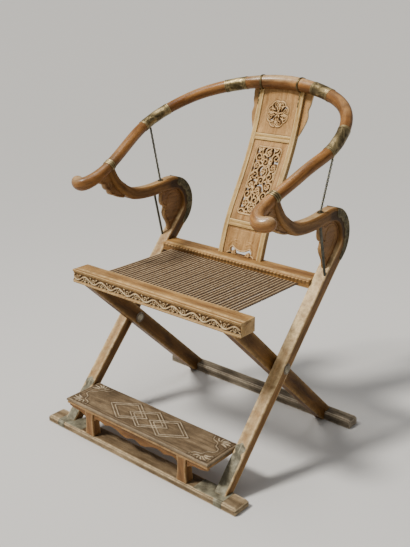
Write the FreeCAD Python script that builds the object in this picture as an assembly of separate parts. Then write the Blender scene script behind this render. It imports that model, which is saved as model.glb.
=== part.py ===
"""Folding armchair with a horseshoe back, in millimetres.

Two crossed timber frames turn on one pivot. The back frame is the front runner, two posts that
bend over into goose-neck arms, the rear seat rail, the splat and the horseshoe crest rail. The
seat frame is the rear runner, two legs and the front seat rail. Cords strung between the two
seat rails make the seat, and a footrest swings between the feet of the posts.
X runs across the chair, +Y to its back and +Z up. The origin is on the floor, in the middle.
"""
import FreeCAD
import Part
import math
import os

Vector = FreeCAD.Vector
os.makedirs("parts", exist_ok=True)

# Whole chair
fit_gap = 0.3
running_clearance = 0.05
overrun = 40.0

# Front runner, the sill under the posts
front_runner_length = 753.0
front_runner_depth = 60.0
front_runner_height = 21.0
runner_edge_bead = 4.0
rear_runner_length = 750.0
rear_runner_depth = 46.0
rear_runner_height = 28.0

# Posts, each one timber from the front runner up to the arm
frame_half_width = 322.5
post_width = 37.0
post_lean = 41.7
post_setback = 26.0
post_foot_thickness = 30.0
post_top_thickness = 40.0
bend_inner_radius = 49.0
bend_centre_height = 625.0
arm_start_turn = 96.0

# Goose-neck arm, from the bend to the neck under the crest handle
arm_reach = 255.0
neck_height = 118.0
arm_thickness = 36.0
neck_thickness = 27.0
neck_lean = 29.0
neck_taper = 2.5
arm_edge_round = 9.0
arm_reach_shares = (0.20, 0.38, 0.556, 0.697, 0.823, 0.948, 1.07)
arm_rise_shares = (-0.04, -0.073, -0.064, -0.014, 0.13, 0.36, 0.84)
arm_thickness_shares = (1, 1, 1, 1, 0.6, 0.15, 0)

# Crest rail, given as half of the horseshoe from the back centre to the hand-hold
crest_overhang = 18.5
crest_fall = 267.0
crest_behind_splat = 7.2
hand_hold_reach = 79.7
neck_lap = 39.8
crest_back_radius = 21.5
crest_quarter_radius = 19.0
crest_side_radius = 16.5
crest_grip_radius = 16.5
knob_radius = 20.5
knob_tip_radius = 6.0
knob_section_shares = (0.4, 0.7, 0.87, 0.955)
crest_across_shares = (0, 0.308, 0.587, 0.792, 0.927, 0.991, 1, 0.965, 0.927, 0.891)
crest_forward_shares = (0, 0.024, 0.071, 0.153, 0.272, 0.399, 0.499, 0.609, 0.718, 0.828)
crest_down_shares = (0, 0.022, 0.09, 0.18, 0.30, 0.42, 0.517, 0.618, 0.734, 0.846)
knob_across_shares = (0.880, 0.900, 0.955, 1.02, 1.055)
knob_forward_shares = (0.910, 0.972, 1.0, 0.994, 0.968)
knob_down_shares = (0.925, 0.985, 1.02, 1.015, 0.975)
top_joint_reach = 164.0
side_joint_reach = 465.0
crest_section_step = 42.0
knob_section_step = 13.0
knob_turn_gap = 30.0

# Brass sleeves and rings on the crest rail
band_wall = 1.2
top_band_length = 76.0
side_band_length = 113.0
handle_band_length = 18.0
handle_band_wall = 1.8
handle_band_setback = 8.0
neck_strap_width = 20.0
neck_strap_length = 78.0
neck_strap_wall = 1.4
ring_length = 6.0
ring_wall = 2.2
ring_reach = 72.0

# Seat rails
front_rail_inset = 2.0
front_rail_depth = 60.5
front_rail_height = 41.0
front_rail_top = 500.0
front_rail_lead = 10.0
front_rail_lip = 7.0
front_rail_groove = 3.0
front_rail_sink = 2.5
rear_rail_depth = 66.0
rear_rail_height = 27.0
rear_rail_top = 509.0
rear_rail_proud = 9.0
rear_rail_lip = 9.0
rear_rail_sink = 4.0

# Legs of the seat frame
leg_width = 32.0
leg_thickness = 48.5
leg_lean = 46.1
leg_side_gap = 1.5
leg_floor_gap = 4.0

# Pivot of the two frames
pivot_height = 296.0
pin_radius = 6.0
pin_head_radius = 11.0
pin_head_height = 4.0
rosette_radius = 17.0
rosette_thickness = 1.6
washer_radius = 14.0
washer_thickness = 1.2

# Back splat, a frame with three panels
splat_half_width = 83.0
splat_stile_width = 17.0
splat_thickness = 20.0
splat_setback = 42.0
splat_top_drop = 19.0
splat_overhang = 204.0
splat_height_shares = (0, 0.19, 0.46, 0.70, 1)
splat_back_shares = (0, 0.155, 0.50, 0.775, 1)
splat_rail_height = 19.0
lower_splat_rail = 593.0
upper_splat_rail = 846.0
panel_thickness = 11.0
panel_sink = 4.0
wing_thickness = 8.0
wing_width = 27.0
wing_height = 140.0
wing_width_shares = (1, 0.98, 0.86, 0.80, 0.84, 0.66, 0.36, 0)
wing_drop_shares = (0, 0.22, 0.36, 0.44, 0.54, 0.72, 0.88, 1)

# Pierced carving of the splat
medallion_radius = 42.0
medallion_height_share = 0.4485
medallion_lobes = 8
medallion_hole_radius = 8.5
medallion_petals = 5
medallion_petal_radius = 4.6
medallion_petal_share = 0.38
medallion_centre_share = 0.5
carving_half_width = 46.0
carving_margin = 20.0
carving_rows = 10
carving_columns = 4
carving_leaf_length = 15.0
carving_leaf_width = 8.0
carving_leaf_turn = 38.0
arch_half_width = 52.0
arch_height = 23.0
arch_across_shares = (1, 0.86, 0.72, 0.78, 0.64, 0.34, 0)
arch_rise_shares = (0.02, 0.14, 0.22, 0.62, 1, 0.64, 0.5)

# Spandrel in the bend of each arm
spandrel_thickness = 20.0
spandrel_across_shares = (-0.84, -1.0, -0.90, -0.62, -0.74, -0.66, -0.42, -0.30)
spandrel_rise_shares = (1.3, 0.55, 0.05, -0.12, -0.45, -0.85, -1.25, -1.72)

# Leaf bracket under each hand-hold
bracket_thickness = 24.0
bracket_reach = 40.0
bracket_height = 66.0
bracket_reach_shares = (-1.5, -0.95, -0.4, -0.1, 0.08, 0.35, 0.5, 0.85, 1.0)
bracket_rise_shares = (-0.145, -0.06, 0.11, 0.16, 0.36, 0.46, 0.68, 0.76, 1.06)

# Iron rods that tie crest, arm and post together
rod_radius = 3.0
rod_setforward = 36.0
lower_rod_setforward = 55.0
rod_crest_reach = 487.0
rod_foot_inset = 5.0
rod_foot_drop = 172.6
rod_foot_depth = 9.0
rod_plate_radius = 9.0
rod_plate_thickness = 1.5

# Sheet metal on the posts and the front runner
sheet_wall = 1.0
sheet_gap = 0.1
shoe_height = 112.0
saddle_length = 86.0
shoe_opening_share = 1.5
elbow_tail_length = 44.0
elbow_end_share = 0.8125
elbow_lap = 30.0

# Footrest
footrest_end_gap = 2.5
footrest_depth = 137.0
footrest_thickness = 19.0
footrest_top = 116.0
footrest_edge_round = 6.0
footrest_foot_width = 36.0
footrest_foot_depth = 30.0
footrest_foot_centre = 186.0
footrest_foot_splay = 7.0
footrest_toe_share = 0.17
apron_thickness = 11.0
apron_height = 24.0
apron_setback = 6.0
apron_span_shares = (0, 0.10, 0.22, 0.36, 0.52, 0.76, 1)
apron_drop_shares = (1, 0.62, 0.88, 0.50, 0.58, 0.40, 0.46)
apron_end_shares = (1, 0.55, 0.50, 0.30)
pintle_radius = 6.0
pintle_length = 17.0
pintle_setback = 9.0
pintle_drop = 9.5

# Cord seat
cord_radius = 2.3
cord_pitch = 6.4
cord_skew_share = 0.2
cord_end_gap = 4.0
cord_height = 489.0


def save(name, shape):
    """Write one named piece."""
    shape.exportStep("parts/" + name + ".step")


def both_sides(name, shape):
    """Write the right-hand piece and its mirror image on the left."""
    save("right_" + name, shape)
    save("left_" + name, mirrored(shape))


def pair(name, shape):
    """Write two small identical pieces, one on each side, as one node."""
    save(name, Part.makeCompound([shape, mirrored(shape)]))


def mirrored(shape):
    """The same piece on the other side of the chair."""
    return shape.mirror(Vector(0, 0, 0), Vector(1, 0, 0))


def side_point(y, z, x=0.0):
    return Vector(x, y, z)


def side_prism(edges, near_x, far_x):
    """Extrude a closed outline of the side view across the chair."""
    face = Part.Face(Part.Wire(edges))
    face.translate(Vector(near_x, 0, 0))
    return face.extrude(Vector(far_x - near_x, 0, 0))


def side_polygon(points, near_x, far_x):
    """A prism across the chair from corner points of the side view."""
    corners = [side_point(y, z) for y, z in points]
    return side_prism(Part.makePolygon(corners + corners[:1]).Edges, near_x, far_x)


def front_prism(edges, near_y, far_y):
    """Extrude a closed outline of the front view from front to back."""
    face = Part.Face(Part.Wire(edges))
    face.translate(Vector(0, near_y, 0))
    return face.extrude(Vector(0, far_y - near_y, 0))


def block(low_x, low_y, low_z, high_x, high_y, high_z):
    """A box from its lowest to its highest corner."""
    size = Vector(high_x - low_x, high_y - low_y, high_z - low_z)
    return Part.makeBox(size.x, size.y, size.z, Vector(low_x, low_y, low_z))


def cross_pin(radius, near_x, far_x, y, z):
    """A round bar that lies across the chair."""
    return Part.makeCylinder(radius, far_x - near_x, Vector(near_x, y, z), Vector(1, 0, 0))


def smooth_edge(points, first_tangent=None, last_tangent=None):
    """One smooth edge through the points, with end directions where they matter."""
    curve = Part.BSplineCurve()
    if first_tangent is None:
        curve.interpolate(Points=points)
    else:
        curve.interpolate(Points=points, InitialTangent=first_tangent, FinalTangent=last_tangent)
    return curve.toShape()


# Places that follow from the sizes
lean = math.radians(post_lean)
rear_rail_run = (rear_rail_top - rear_rail_height / 2 - front_runner_height) * math.tan(lean)
rail_depth_run = sheet_wall + post_setback + rear_rail_run - rear_rail_proud
overall_depth = rail_depth_run + splat_setback + splat_overhang + crest_behind_splat + crest_back_radius
front_edge = sheet_wall - overall_depth / 2
crest_back_y = overall_depth / 2 - crest_back_radius
up_post = Vector(0, math.sin(lean), math.cos(lean))
behind_post = Vector(0, math.cos(lean), -math.sin(lean))
post_inner_x = frame_half_width - post_width
post_middle_x = frame_half_width - post_width / 2
crest_half_width = frame_half_width + crest_overhang
front_rail_length = (frame_half_width - front_rail_inset) * 2
footrest_length = (post_inner_x - footrest_end_gap) * 2
post_toe = side_point(front_edge + post_setback, front_runner_height)
bend_outer_radius = bend_inner_radius + post_top_thickness
post_rise = bend_centre_height - front_runner_height
post_straight = (post_rise - bend_inner_radius * math.sin(lean)) / math.cos(lean)
bend_centre = post_toe + up_post * post_straight - behind_post * bend_inner_radius


def post_front_y(height):
    """Where the front face of a post is at some height."""
    return post_toe.y + (height - post_toe.z) * math.tan(lean)


def on_bend(radius, turn):
    """A point of the bend, by its distance from the centre and its turn from level."""
    angle = math.radians(turn)
    return bend_centre + Vector(0, radius * math.cos(angle), radius * math.sin(angle))


def bend_arc(radius, first_turn, last_turn):
    """An arc about the centre of the bend."""
    middle_turn = (first_turn + last_turn) / 2
    points = [on_bend(radius, turn) for turn in (first_turn, middle_turn, last_turn)]
    return Part.Arc(*points).toShape()


heel = post_toe + Vector(0, post_foot_thickness / math.cos(lean), 0)
heel_to_centre = bend_centre - heel
back_line_turn = math.degrees(
    math.atan2(heel_to_centre.z, heel_to_centre.y)
    + math.asin(bend_outer_radius / heel_to_centre.Length)
) - 90.0
inner_line_turn = -post_lean
pivot_share = (pivot_height - post_toe.z) / (bend_centre_height - post_toe.z)
pivot_thickness = post_foot_thickness + (post_top_thickness - post_foot_thickness) * pivot_share
pivot_y = post_front_y(pivot_height) + pivot_thickness / math.cos(lean) / 2
leg_outer_x = post_inner_x - leg_side_gap
leg_inner_x = leg_outer_x - leg_width
cord_seat_half_width = leg_inner_x - cord_end_gap
leg_angle = math.radians(leg_lean)


def leg_centre_y(height):
    """Where the middle of a leg is at some height."""
    return pivot_y - (height - pivot_height) * math.tan(leg_angle)


# Places of the rails, the splat and the footrest
front_rail_under = front_rail_top - front_rail_height
front_rail_back = leg_centre_y(front_rail_under) - front_rail_lead + front_rail_depth / 2
front_rail_front = front_rail_back - front_rail_depth
rear_rail_under = rear_rail_top - rear_rail_height
rear_rail_front = post_front_y(rear_rail_under + rear_rail_height / 2) - rear_rail_proud
rear_rail_back = rear_rail_front + rear_rail_depth
rear_runner_front = leg_centre_y(rear_runner_height)
splat_foot_y = rear_rail_front + splat_setback
pintle_y = front_edge + footrest_depth - pintle_setback
pintle_z = footrest_top - pintle_drop


def runner(length, depth, height, near_y):
    """A sill with a small bead along its top edges and stepped ends."""
    bead = runner_edge_bead
    far_y = near_y + depth
    section = [(near_y, 0), (far_y, 0), (far_y, height - bead), (far_y - bead, height)]
    section += [(near_y + bead, height), (near_y, height - bead)]
    bar = side_polygon(section, -length / 2, length / 2)
    half = length / 2
    ends = [(-half, 0), (half, 0), (half, height / 2), (half - bead, height / 2 + bead)]
    ends += [(half - bead * 2, height), (bead * 2 - half, height), (bead - half, height / 2 + bead)]
    ends += [(-half, height / 2)]
    corners = [Vector(x, 0, z) for x, z in ends]
    outline = Part.makePolygon(corners + corners[:1]).Edges
    return bar.common(front_prism(outline, near_y - overrun, far_y + overrun))


def post_straight_and_bend():
    """The post from the runner up and over the bend, with crisp edges."""
    inner_start = on_bend(bend_inner_radius, inner_line_turn)
    inner_end = on_bend(bend_inner_radius, arm_start_turn)
    outer_start = on_bend(bend_outer_radius, back_line_turn)
    outer_end = on_bend(bend_outer_radius, arm_start_turn)
    edges = [
        Part.LineSegment(post_toe, inner_start).toShape(),
        bend_arc(bend_inner_radius, inner_line_turn, arm_start_turn),
        Part.LineSegment(inner_end, outer_end).toShape(),
        bend_arc(bend_outer_radius, arm_start_turn, back_line_turn),
        Part.LineSegment(outer_start, heel).toShape(),
        Part.LineSegment(heel, post_toe).toShape(),
    ]
    return side_prism(edges, post_inner_x, frame_half_width)


def arm_centre_points():
    """The middle line of the arm, from the end of the bend to the neck."""
    start = on_bend((bend_inner_radius + bend_outer_radius) / 2, arm_start_turn)
    points = [start]
    for reach_share, rise_share in zip(arm_reach_shares, arm_rise_shares):
        reach = reach_share * arm_reach
        points.append(side_point(bend_centre.y - reach, start.z + rise_share * neck_height))
    return points


def arm():
    """The arm with rounded edges, which dips and then rises and thins into the neck."""
    points = arm_centre_points()
    start_angle = math.radians(arm_start_turn)
    lean_angle = math.radians(neck_lean)
    forward = Vector(0, -math.sin(start_angle), math.cos(start_angle))
    upward = Vector(0, -math.sin(lean_angle), math.cos(lean_angle))
    centre = Part.BSplineCurve()
    centre.interpolate(Points=points, InitialTangent=forward, FinalTangent=upward)
    thicknesses = [post_top_thickness]
    swell = arm_thickness - neck_thickness
    thicknesses += [neck_thickness + swell * share for share in arm_thickness_shares]
    upper = []
    lower = []
    for point, thickness in zip(points, thicknesses):
        along = centre.tangent(centre.parameter(point))[0]
        above = Vector(0, along.z, -along.y)
        upper.append(point + above * thickness / 2)
        lower.append(point - above * thickness / 2)
    edges = [
        smooth_edge(upper, forward, upward),
        Part.LineSegment(upper[-1], lower[-1]).toShape(),
        smooth_edge(lower, forward, upward),
        Part.LineSegment(lower[0], upper[0]).toShape(),
    ]
    face = Part.Face(Part.Wire(Part.__sortEdges__(edges)))
    face.translate(Vector(post_inner_x, 0, 0))
    solid = face.extrude(Vector(post_width, 0, 0))
    long_edges = [edge for edge in solid.Edges if isinstance(edge.Curve, Part.BSplineCurve)]
    return solid.makeFillet(arm_edge_round, long_edges).cut(neck_waste())


def neck_waste():
    """What is planed off both sides of the neck, so that it is no wider than the hand-hold."""
    foot = arm_centre_points()[-3]
    top = arm_centre_points()[-1].z
    cheeks = []
    for face_x, outward in ((frame_half_width, 1), (post_inner_x, -1)):
        corners = [
            Vector(face_x, 0, foot.z),
            Vector(face_x + outward * overrun, 0, foot.z),
            Vector(face_x + outward * overrun, 0, top),
            Vector(face_x - outward * neck_taper, 0, top),
        ]
        outline = Part.makePolygon(corners + corners[:1]).Edges
        cheeks.append(front_prism(outline, foot.y - arm_reach, foot.y))
    return cheeks


neck_top = arm_centre_points()[-1]
crest_run = crest_back_y - neck_top.y + hand_hold_reach
crest_top_height = neck_top.z - neck_lap + crest_fall
splat_height = crest_top_height - splat_top_drop - rear_rail_top
rod_foot_height = arm_centre_points()[0].z - rod_foot_drop


def crest_route():
    """The middle line of the whole crest rail, as one smooth curve."""
    half = []
    shares = list(zip(crest_across_shares, crest_forward_shares, crest_down_shares))
    shares += zip(knob_across_shares, knob_forward_shares, knob_down_shares)
    for across, forward, down in shares:
        x = across * crest_half_width
        half.append(Vector(x, crest_back_y - forward * crest_run, crest_top_height - down * crest_fall))
    left = [Vector(-point.x, point.y, point.z) for point in reversed(half[1:])]
    curve = Part.BSplineCurve()
    curve.interpolate(Points=left + half)
    return curve


crest = crest_route()
crest_half_length = crest.length() / 2
neck_place = crest.parameter(Vector(post_middle_x, neck_top.y, neck_top.z))
neck_reach = crest.length(crest.FirstParameter, neck_place) - crest_half_length
handle_band_reach = neck_reach - handle_band_setback
knob_turn_reach = handle_band_reach + knob_turn_gap
crest_stations = (0, top_joint_reach, side_joint_reach, handle_band_reach, crest_half_length - knob_radius)
crest_radii = (crest_back_radius, crest_quarter_radius, crest_side_radius, crest_grip_radius, knob_radius)


def crest_radius(reach):
    """The radius of the crest rail at a distance along it from the back centre."""
    for count in range(len(crest_stations) - 1):
        near, far = crest_stations[count], crest_stations[count + 1]
        if reach <= far:
            share = (reach - near) / (far - near)
            ease = share * share * (3 - 2 * share)
            return crest_radii[count] + (crest_radii[count + 1] - crest_radii[count]) * ease
    beyond = min((reach - crest_stations[-1]) / knob_radius, 1.0)
    return max(knob_radius * math.sqrt(1.0 - beyond * beyond), knob_tip_radius)


def crest_place(reach):
    """The point and direction of the crest rail on its right-hand half."""
    parameter = crest.parameterAtDistance(crest_half_length + reach)
    return crest.value(parameter), crest.tangent(parameter)[0]


def crest_section(reach, growth):
    """A circle square to the crest rail, larger than the rail by growth."""
    point, along = crest_place(reach)
    level = Vector(along.y, -along.x, 0)
    level.normalize()
    turn = FreeCAD.Rotation(level, along.cross(level), along, "ZXY")
    circle = Part.makeCircle(crest_radius(abs(reach)) + growth)
    circle.Placement = FreeCAD.Placement(point, turn)
    return Part.Wire([circle])


def crest_length_of(first_reach, last_reach, growth, pieces):
    """A stretch of round rail between two places along it."""
    step = (last_reach - first_reach) / pieces
    wires = [crest_section(first_reach + step * count, growth) for count in range(pieces + 1)]
    return Part.makeLoft(wires, True, False)


def crest_piece(first_reach, last_reach, growth=0.0):
    """A length of the crest rail, with sections about one step apart."""
    pieces = max(2, round((last_reach - first_reach) / crest_section_step))
    return crest_length_of(first_reach, last_reach, growth, pieces)


def crest_handle(growth=0.0):
    """The hand-hold, which rolls outward and ends in a rounded knob."""
    ball_start = crest_half_length - knob_radius
    pieces = round((knob_turn_reach - side_joint_reach) / crest_section_step)
    step = (knob_turn_reach - side_joint_reach) / pieces
    reaches = [side_joint_reach + step * count for count in range(pieces)]
    pieces = round((ball_start - knob_turn_reach) / knob_section_step)
    step = (ball_start - knob_turn_reach) / pieces
    reaches += [knob_turn_reach + step * count for count in range(pieces + 1)]
    reaches += [ball_start + knob_radius * cap_share for cap_share in knob_section_shares]
    return Part.makeLoft([crest_section(reach, growth) for reach in reaches], True, False)


def room_over_rail(first_reach, last_reach):
    """All the room above the rail's middle line, as wide as a post, between two places along it."""
    pieces = round((last_reach - first_reach) / crest_section_step)
    step = (last_reach - first_reach) / pieces
    places = [crest_place(first_reach + step * count)[0] for count in range(pieces + 1)]
    points = [(place.y, place.z) for place in places]
    points += [(points[-1][0], points[-1][1] + overrun), (points[0][0], points[0][1] + overrun)]
    return side_polygon(points, post_inner_x, frame_half_width)


def sleeve(middle_reach, length, wall, rails):
    """A metal sleeve that grips the crest rail."""
    first, last = middle_reach - length / 2, middle_reach + length / 2
    pieces = max(2, round(length / crest_section_step))
    return crest_length_of(first, last, wall, pieces).cut(rails)


def splat_front(drop=0.0, push=0.0):
    """The bowed front line of the splat, moved down or back where a piece needs it."""
    points = []
    for rise, back in zip(splat_height_shares, splat_back_shares):
        setback = splat_foot_y + back * splat_overhang + push
        points.append(side_point(setback, rear_rail_top + rise * splat_height - drop))
    return points


def splat_slab(near_x, far_x, sink, thickness):
    """A bowed board between two places across, set behind the splat's front."""
    front = splat_front(0, sink)
    back = splat_front(0, sink + thickness)
    edges = [
        smooth_edge(front),
        Part.LineSegment(front[-1], back[-1]).toShape(),
        smooth_edge(back),
        Part.LineSegment(back[0], front[0]).toShape(),
    ]
    face = Part.Face(Part.Wire(Part.__sortEdges__(edges)))
    face.translate(Vector(near_x, 0, 0))
    return face.extrude(Vector(far_x - near_x, 0, 0))


def between_heights(shape, low, high):
    """The part of a shape between two heights."""
    reach = overall_depth
    return shape.common(block(-reach, -reach, low, reach, reach, high))


def splat_panel(low, high):
    """A thin panel between the stiles."""
    inner = splat_half_width - splat_stile_width
    return between_heights(splat_slab(-inner, inner, panel_sink, panel_thickness), low, high)


def through_hole(radius, x, z):
    """A round cutter from front to back through the splat."""
    return Part.makeCylinder(radius, overall_depth, Vector(x, 0, z), Vector(0, 1, 0))


def medallion_cutters(centre_z):
    """One round hole in the middle, petals about it and a ring of lobes about them."""
    cutters = [through_hole(medallion_hole_radius * medallion_centre_share, 0, centre_z)]
    outer_ring = (medallion_lobes, medallion_radius - medallion_hole_radius, medallion_hole_radius)
    inner_ring = (medallion_petals, medallion_radius * medallion_petal_share, medallion_petal_radius)
    for lobes, ring, radius in (inner_ring, outer_ring):
        for lobe in range(lobes):
            angle = math.tau * lobe / lobes
            x, z = ring * math.sin(angle), centre_z + ring * math.cos(angle)
            cutters.append(through_hole(radius, x, z))
    return cutters


def leaf_hole(x, z, turn):
    """A leaf-shaped cutter through the splat: two arcs that meet in points, turned from upright."""
    angle = math.radians(turn)
    tip = Vector(math.sin(angle), 0, math.cos(angle)) * carving_leaf_length / 2
    bulge = Vector(math.cos(angle), 0, -math.sin(angle)) * carving_leaf_width / 2
    middle = Vector(x, 0, z)
    edges = [
        Part.Arc(middle - tip, middle + bulge, middle + tip).toShape(),
        Part.Arc(middle + tip, middle - bulge, middle - tip).toShape(),
    ]
    return front_prism(edges, 0, overall_depth)


def carving_cutters(low, high):
    """Staggered leaf holes of the pierced scroll panel, leaning left and right by turns."""
    pitch_z = (high - low - carving_margin * 2) / carving_rows
    pitch_x = carving_half_width * 2 / carving_columns
    cutters = []
    for row in range(carving_rows):
        z = low + carving_margin + pitch_z * (row + 0.5)
        for column in range(carving_columns - row % 2):
            x = (column - (carving_columns - 1 - row % 2) / 2) * pitch_x
            turn = carving_leaf_turn if (row + column) % 2 else -carving_leaf_turn
            cutters.append(leaf_hole(x, z, turn))
    return cutters


def arch_cutter():
    """The cusped opening at the foot of the splat, two lobes with a hanging point between them."""
    half = []
    for across, rise in zip(arch_across_shares, arch_rise_shares):
        half.append(Vector(across * arch_half_width, 0, rear_rail_top + rise * arch_height))
    other = [Vector(-point.x, 0, point.z) for point in half]
    edges = []
    for side in (half, other):
        edges += [smooth_edge(side[0:3]), smooth_edge(side[2:5]), smooth_edge(side[4:7])]
    feet = [Vector(point.x, 0, rear_rail_top) for point in (half[0], other[0])]
    edges += [
        Part.LineSegment(half[0], feet[0]).toShape(),
        Part.LineSegment(feet[0], feet[1]).toShape(),
        Part.LineSegment(feet[1], other[0]).toShape(),
    ]
    return front_prism(Part.__sortEdges__(edges), 0, overall_depth)


def wing():
    """The thin curved ear beside the top of the splat."""
    top = rear_rail_top + splat_height
    points = []
    for width_share, drop_share in zip(wing_width_shares, wing_drop_shares):
        points.append(Vector(splat_half_width + width_share * wing_width, 0, top - drop_share * wing_height))
    root_top = Vector(splat_half_width, 0, top)
    edges = [Part.LineSegment(root_top, points[0]).toShape(), smooth_edge(points)]
    edges.append(Part.LineSegment(points[-1], root_top).toShape())
    outline = front_prism(edges, -overall_depth, overall_depth)
    far_x = splat_half_width + wing_width + overrun
    board = splat_slab(splat_half_width, far_x, splat_thickness / 2, wing_thickness)
    return board.common(outline)


def spandrel(post):
    """The teardrop board that fills the bend, with a cusped front edge."""
    points = []
    for across, rise in zip(spandrel_across_shares, spandrel_rise_shares):
        y = bend_centre.y + across * bend_inner_radius
        points.append(side_point(y, bend_centre.z + rise * bend_inner_radius))
    cusp = 3
    far = side_point(bend_centre.y + bend_inner_radius, bend_centre.z + bend_inner_radius)
    tip = side_point(points[-1].y + bend_inner_radius, points[-1].z)
    edges = [
        smooth_edge(points[: cusp + 1]),
        smooth_edge(points[cusp:]),
        Part.LineSegment(points[-1], tip).toShape(),
        Part.LineSegment(tip, far).toShape(),
        Part.LineSegment(far, points[0]).toShape(),
    ]
    near_x = post_middle_x - spandrel_thickness / 2
    board = side_prism(edges, near_x, near_x + spandrel_thickness)
    return largest(board.cut(post))


def largest(shape):
    """The largest solid of a cut."""
    return max(shape.Solids, key=lambda solid: solid.Volume)


def leaf_bracket(post, handle):
    """The carved leaf that hugs the front of the neck, up to the underside of the hand-hold."""
    arm_points = arm_centre_points()
    points = []
    for reach_share, rise_share in zip(bracket_reach_shares, bracket_rise_shares):
        y = neck_top.y - reach_share * bracket_reach
        points.append(side_point(y, arm_points[0].z + rise_share * bracket_height))
    inside_neck = [arm_points[-1], arm_points[-2], arm_points[-3]]
    edges = [smooth_edge(points[count : count + 3]) for count in range(0, len(points) - 1, 2)]
    closing = [points[-1]] + inside_neck + [points[0]]
    edges += Part.makePolygon(closing).Edges
    near_x = post_middle_x - bracket_thickness / 2
    board = side_prism(edges, near_x, near_x + bracket_thickness)
    return largest(board.cut(post).cut(handle))


def bar_between(start, end, radius):
    """A round bar from one point to another."""
    return Part.makeCylinder(radius, (end - start).Length, start, end - start)


def neck_strap(post, handle, band):
    """A strip of sheet metal nailed down the back of the neck, below the sleeve on the hand-hold."""
    arm_points = arm_centre_points()
    behind = (arm_points[-2] - arm_points[-1]).normalize()
    outward = Vector(0, -behind.z, behind.y)
    if outward.y < 0:
        outward = outward * -1
    raised = post.copy()
    raised.translate(outward * neck_strap_wall)
    top = neck_top + behind * neck_thickness / 2
    foot = top + behind * neck_strap_length
    corners = [top, foot, foot + outward * overrun, top + outward * overrun]
    near_x = post_middle_x - neck_strap_width / 2
    strip = side_polygon([(point.y, point.z) for point in corners], near_x, near_x + neck_strap_width)
    return largest(strip.common(raised).cut(post).cut(handle).cut(band))


def rod_arm_point(setforward):
    """A point in the middle of the arm, some way in front of the bend."""
    start = arm_centre_points()[0]
    return Vector(post_middle_x, start.y - setforward, start.z)


def upper_rod(post, rail):
    """The iron rod from the crest rail down to the top of the arm."""
    top = crest_place(rod_crest_reach)[0]
    bottom = rod_arm_point(rod_setforward)
    return longest(bar_between(top, bottom, rod_radius).cut(post).cut(rail))


def lower_rod(post):
    """The iron rod from the underside of the arm down to the face of the post."""
    outer = frame_half_width - rod_foot_inset
    foot = Vector(outer, post_front_y(rod_foot_height), rod_foot_height)
    top = rod_arm_point(lower_rod_setforward)
    top.x = outer
    beyond = foot + (foot - top).normalize() * rod_foot_depth
    return longest(bar_between(top, beyond, rod_radius).cut(post))


def longest(shape):
    """The tallest solid that a cut leaves."""
    return max(shape.Solids, key=lambda solid: solid.BoundBox.ZLength)


def rod_plate(post, rod):
    """A small metal plate nailed on the arm round the foot of the upper rod."""
    place = rod_arm_point(rod_setforward)
    tall = Part.makeCylinder(rod_plate_radius, post_top_thickness, place, Vector(0, 0, 1))
    raised = post.copy()
    raised.translate(Vector(0, 0, rod_plate_thickness))
    plate = tall.common(raised).cut(post)
    return largest(plate.cut(rod))


def elbow_mount():
    """A channel of sheet brass bent over the outside of the bend, with a tail down the post."""
    outer = bend_outer_radius + sheet_gap
    lap = bend_outer_radius - elbow_lap
    end_turn = arm_start_turn * elbow_end_share
    down_back = (heel - on_bend(bend_outer_radius, back_line_turn)).normalize()

    def sector(radius, hole, near_x, far_x):
        outer_turn, inner_turn = on_bend(radius, back_line_turn), on_bend(hole, back_line_turn)
        tail = Vector(down_back) * elbow_tail_length
        edges = [
            bend_arc(radius, back_line_turn, end_turn),
            Part.LineSegment(on_bend(radius, end_turn), on_bend(hole, end_turn)).toShape(),
            bend_arc(hole, end_turn, back_line_turn),
            Part.LineSegment(inner_turn, inner_turn + tail).toShape(),
            Part.LineSegment(inner_turn + tail, outer_turn + tail).toShape(),
            Part.LineSegment(outer_turn + tail, outer_turn).toShape(),
        ]
        return side_prism(edges, near_x, far_x)

    wall = sheet_gap + sheet_wall
    shell = sector(outer + sheet_wall, lap, post_inner_x - wall, frame_half_width + wall)
    room = sector(outer, lap - sheet_wall, post_inner_x - sheet_gap, frame_half_width + sheet_gap)
    return shell.cut(room)


def grown_post_foot(growth):
    """The lower length of a post, grown on all four faces."""
    slack = growth / math.cos(lean)
    top = front_runner_height + shoe_height
    taper = post_foot_thickness + (post_top_thickness - post_foot_thickness) * shoe_height / (
        bend_centre_height - front_runner_height
    )
    low_y = post_front_y(front_runner_height)
    high_y = post_front_y(top)
    depth_low = post_foot_thickness / math.cos(lean)
    depth_high = taper / math.cos(lean)
    corners = [
        (low_y - slack, front_runner_height),
        (low_y + depth_low + slack, front_runner_height),
        (high_y + depth_high + slack, top),
        (high_y - slack, top),
    ]
    return side_polygon(corners, post_inner_x - growth, frame_half_width + growth)


def post_shoe():
    """The sheet metal sheath round the foot of a post."""
    sheath = grown_post_foot(sheet_gap + sheet_wall).cut(grown_post_foot(sheet_gap))
    opening = cross_pin(pintle_radius * shoe_opening_share, 0, post_middle_x, pintle_y, pintle_z)
    return sheath.cut(opening)


def runner_saddle():
    """A metal strap folded over the top and the front of the runner at a post."""
    near_x = post_middle_x - saddle_length / 2
    far_x = post_middle_x + saddle_length / 2
    bead = runner_edge_bead
    top = front_runner_height
    back = front_edge + front_runner_depth - bead
    wall = sheet_wall
    points = [
        (front_edge - wall, sheet_wall * 2),
        (front_edge, sheet_wall * 2),
        (front_edge, top - bead),
        (front_edge + bead, top),
        (back, top),
        (back, top + wall),
        (front_edge + bead - wall / 2, top + wall),
        (front_edge - wall, top - bead + wall / 2),
    ]
    strap = side_polygon(points, near_x, far_x)
    return strap.cut(grown_post_foot(sheet_gap * 2 + sheet_wall))


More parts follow.
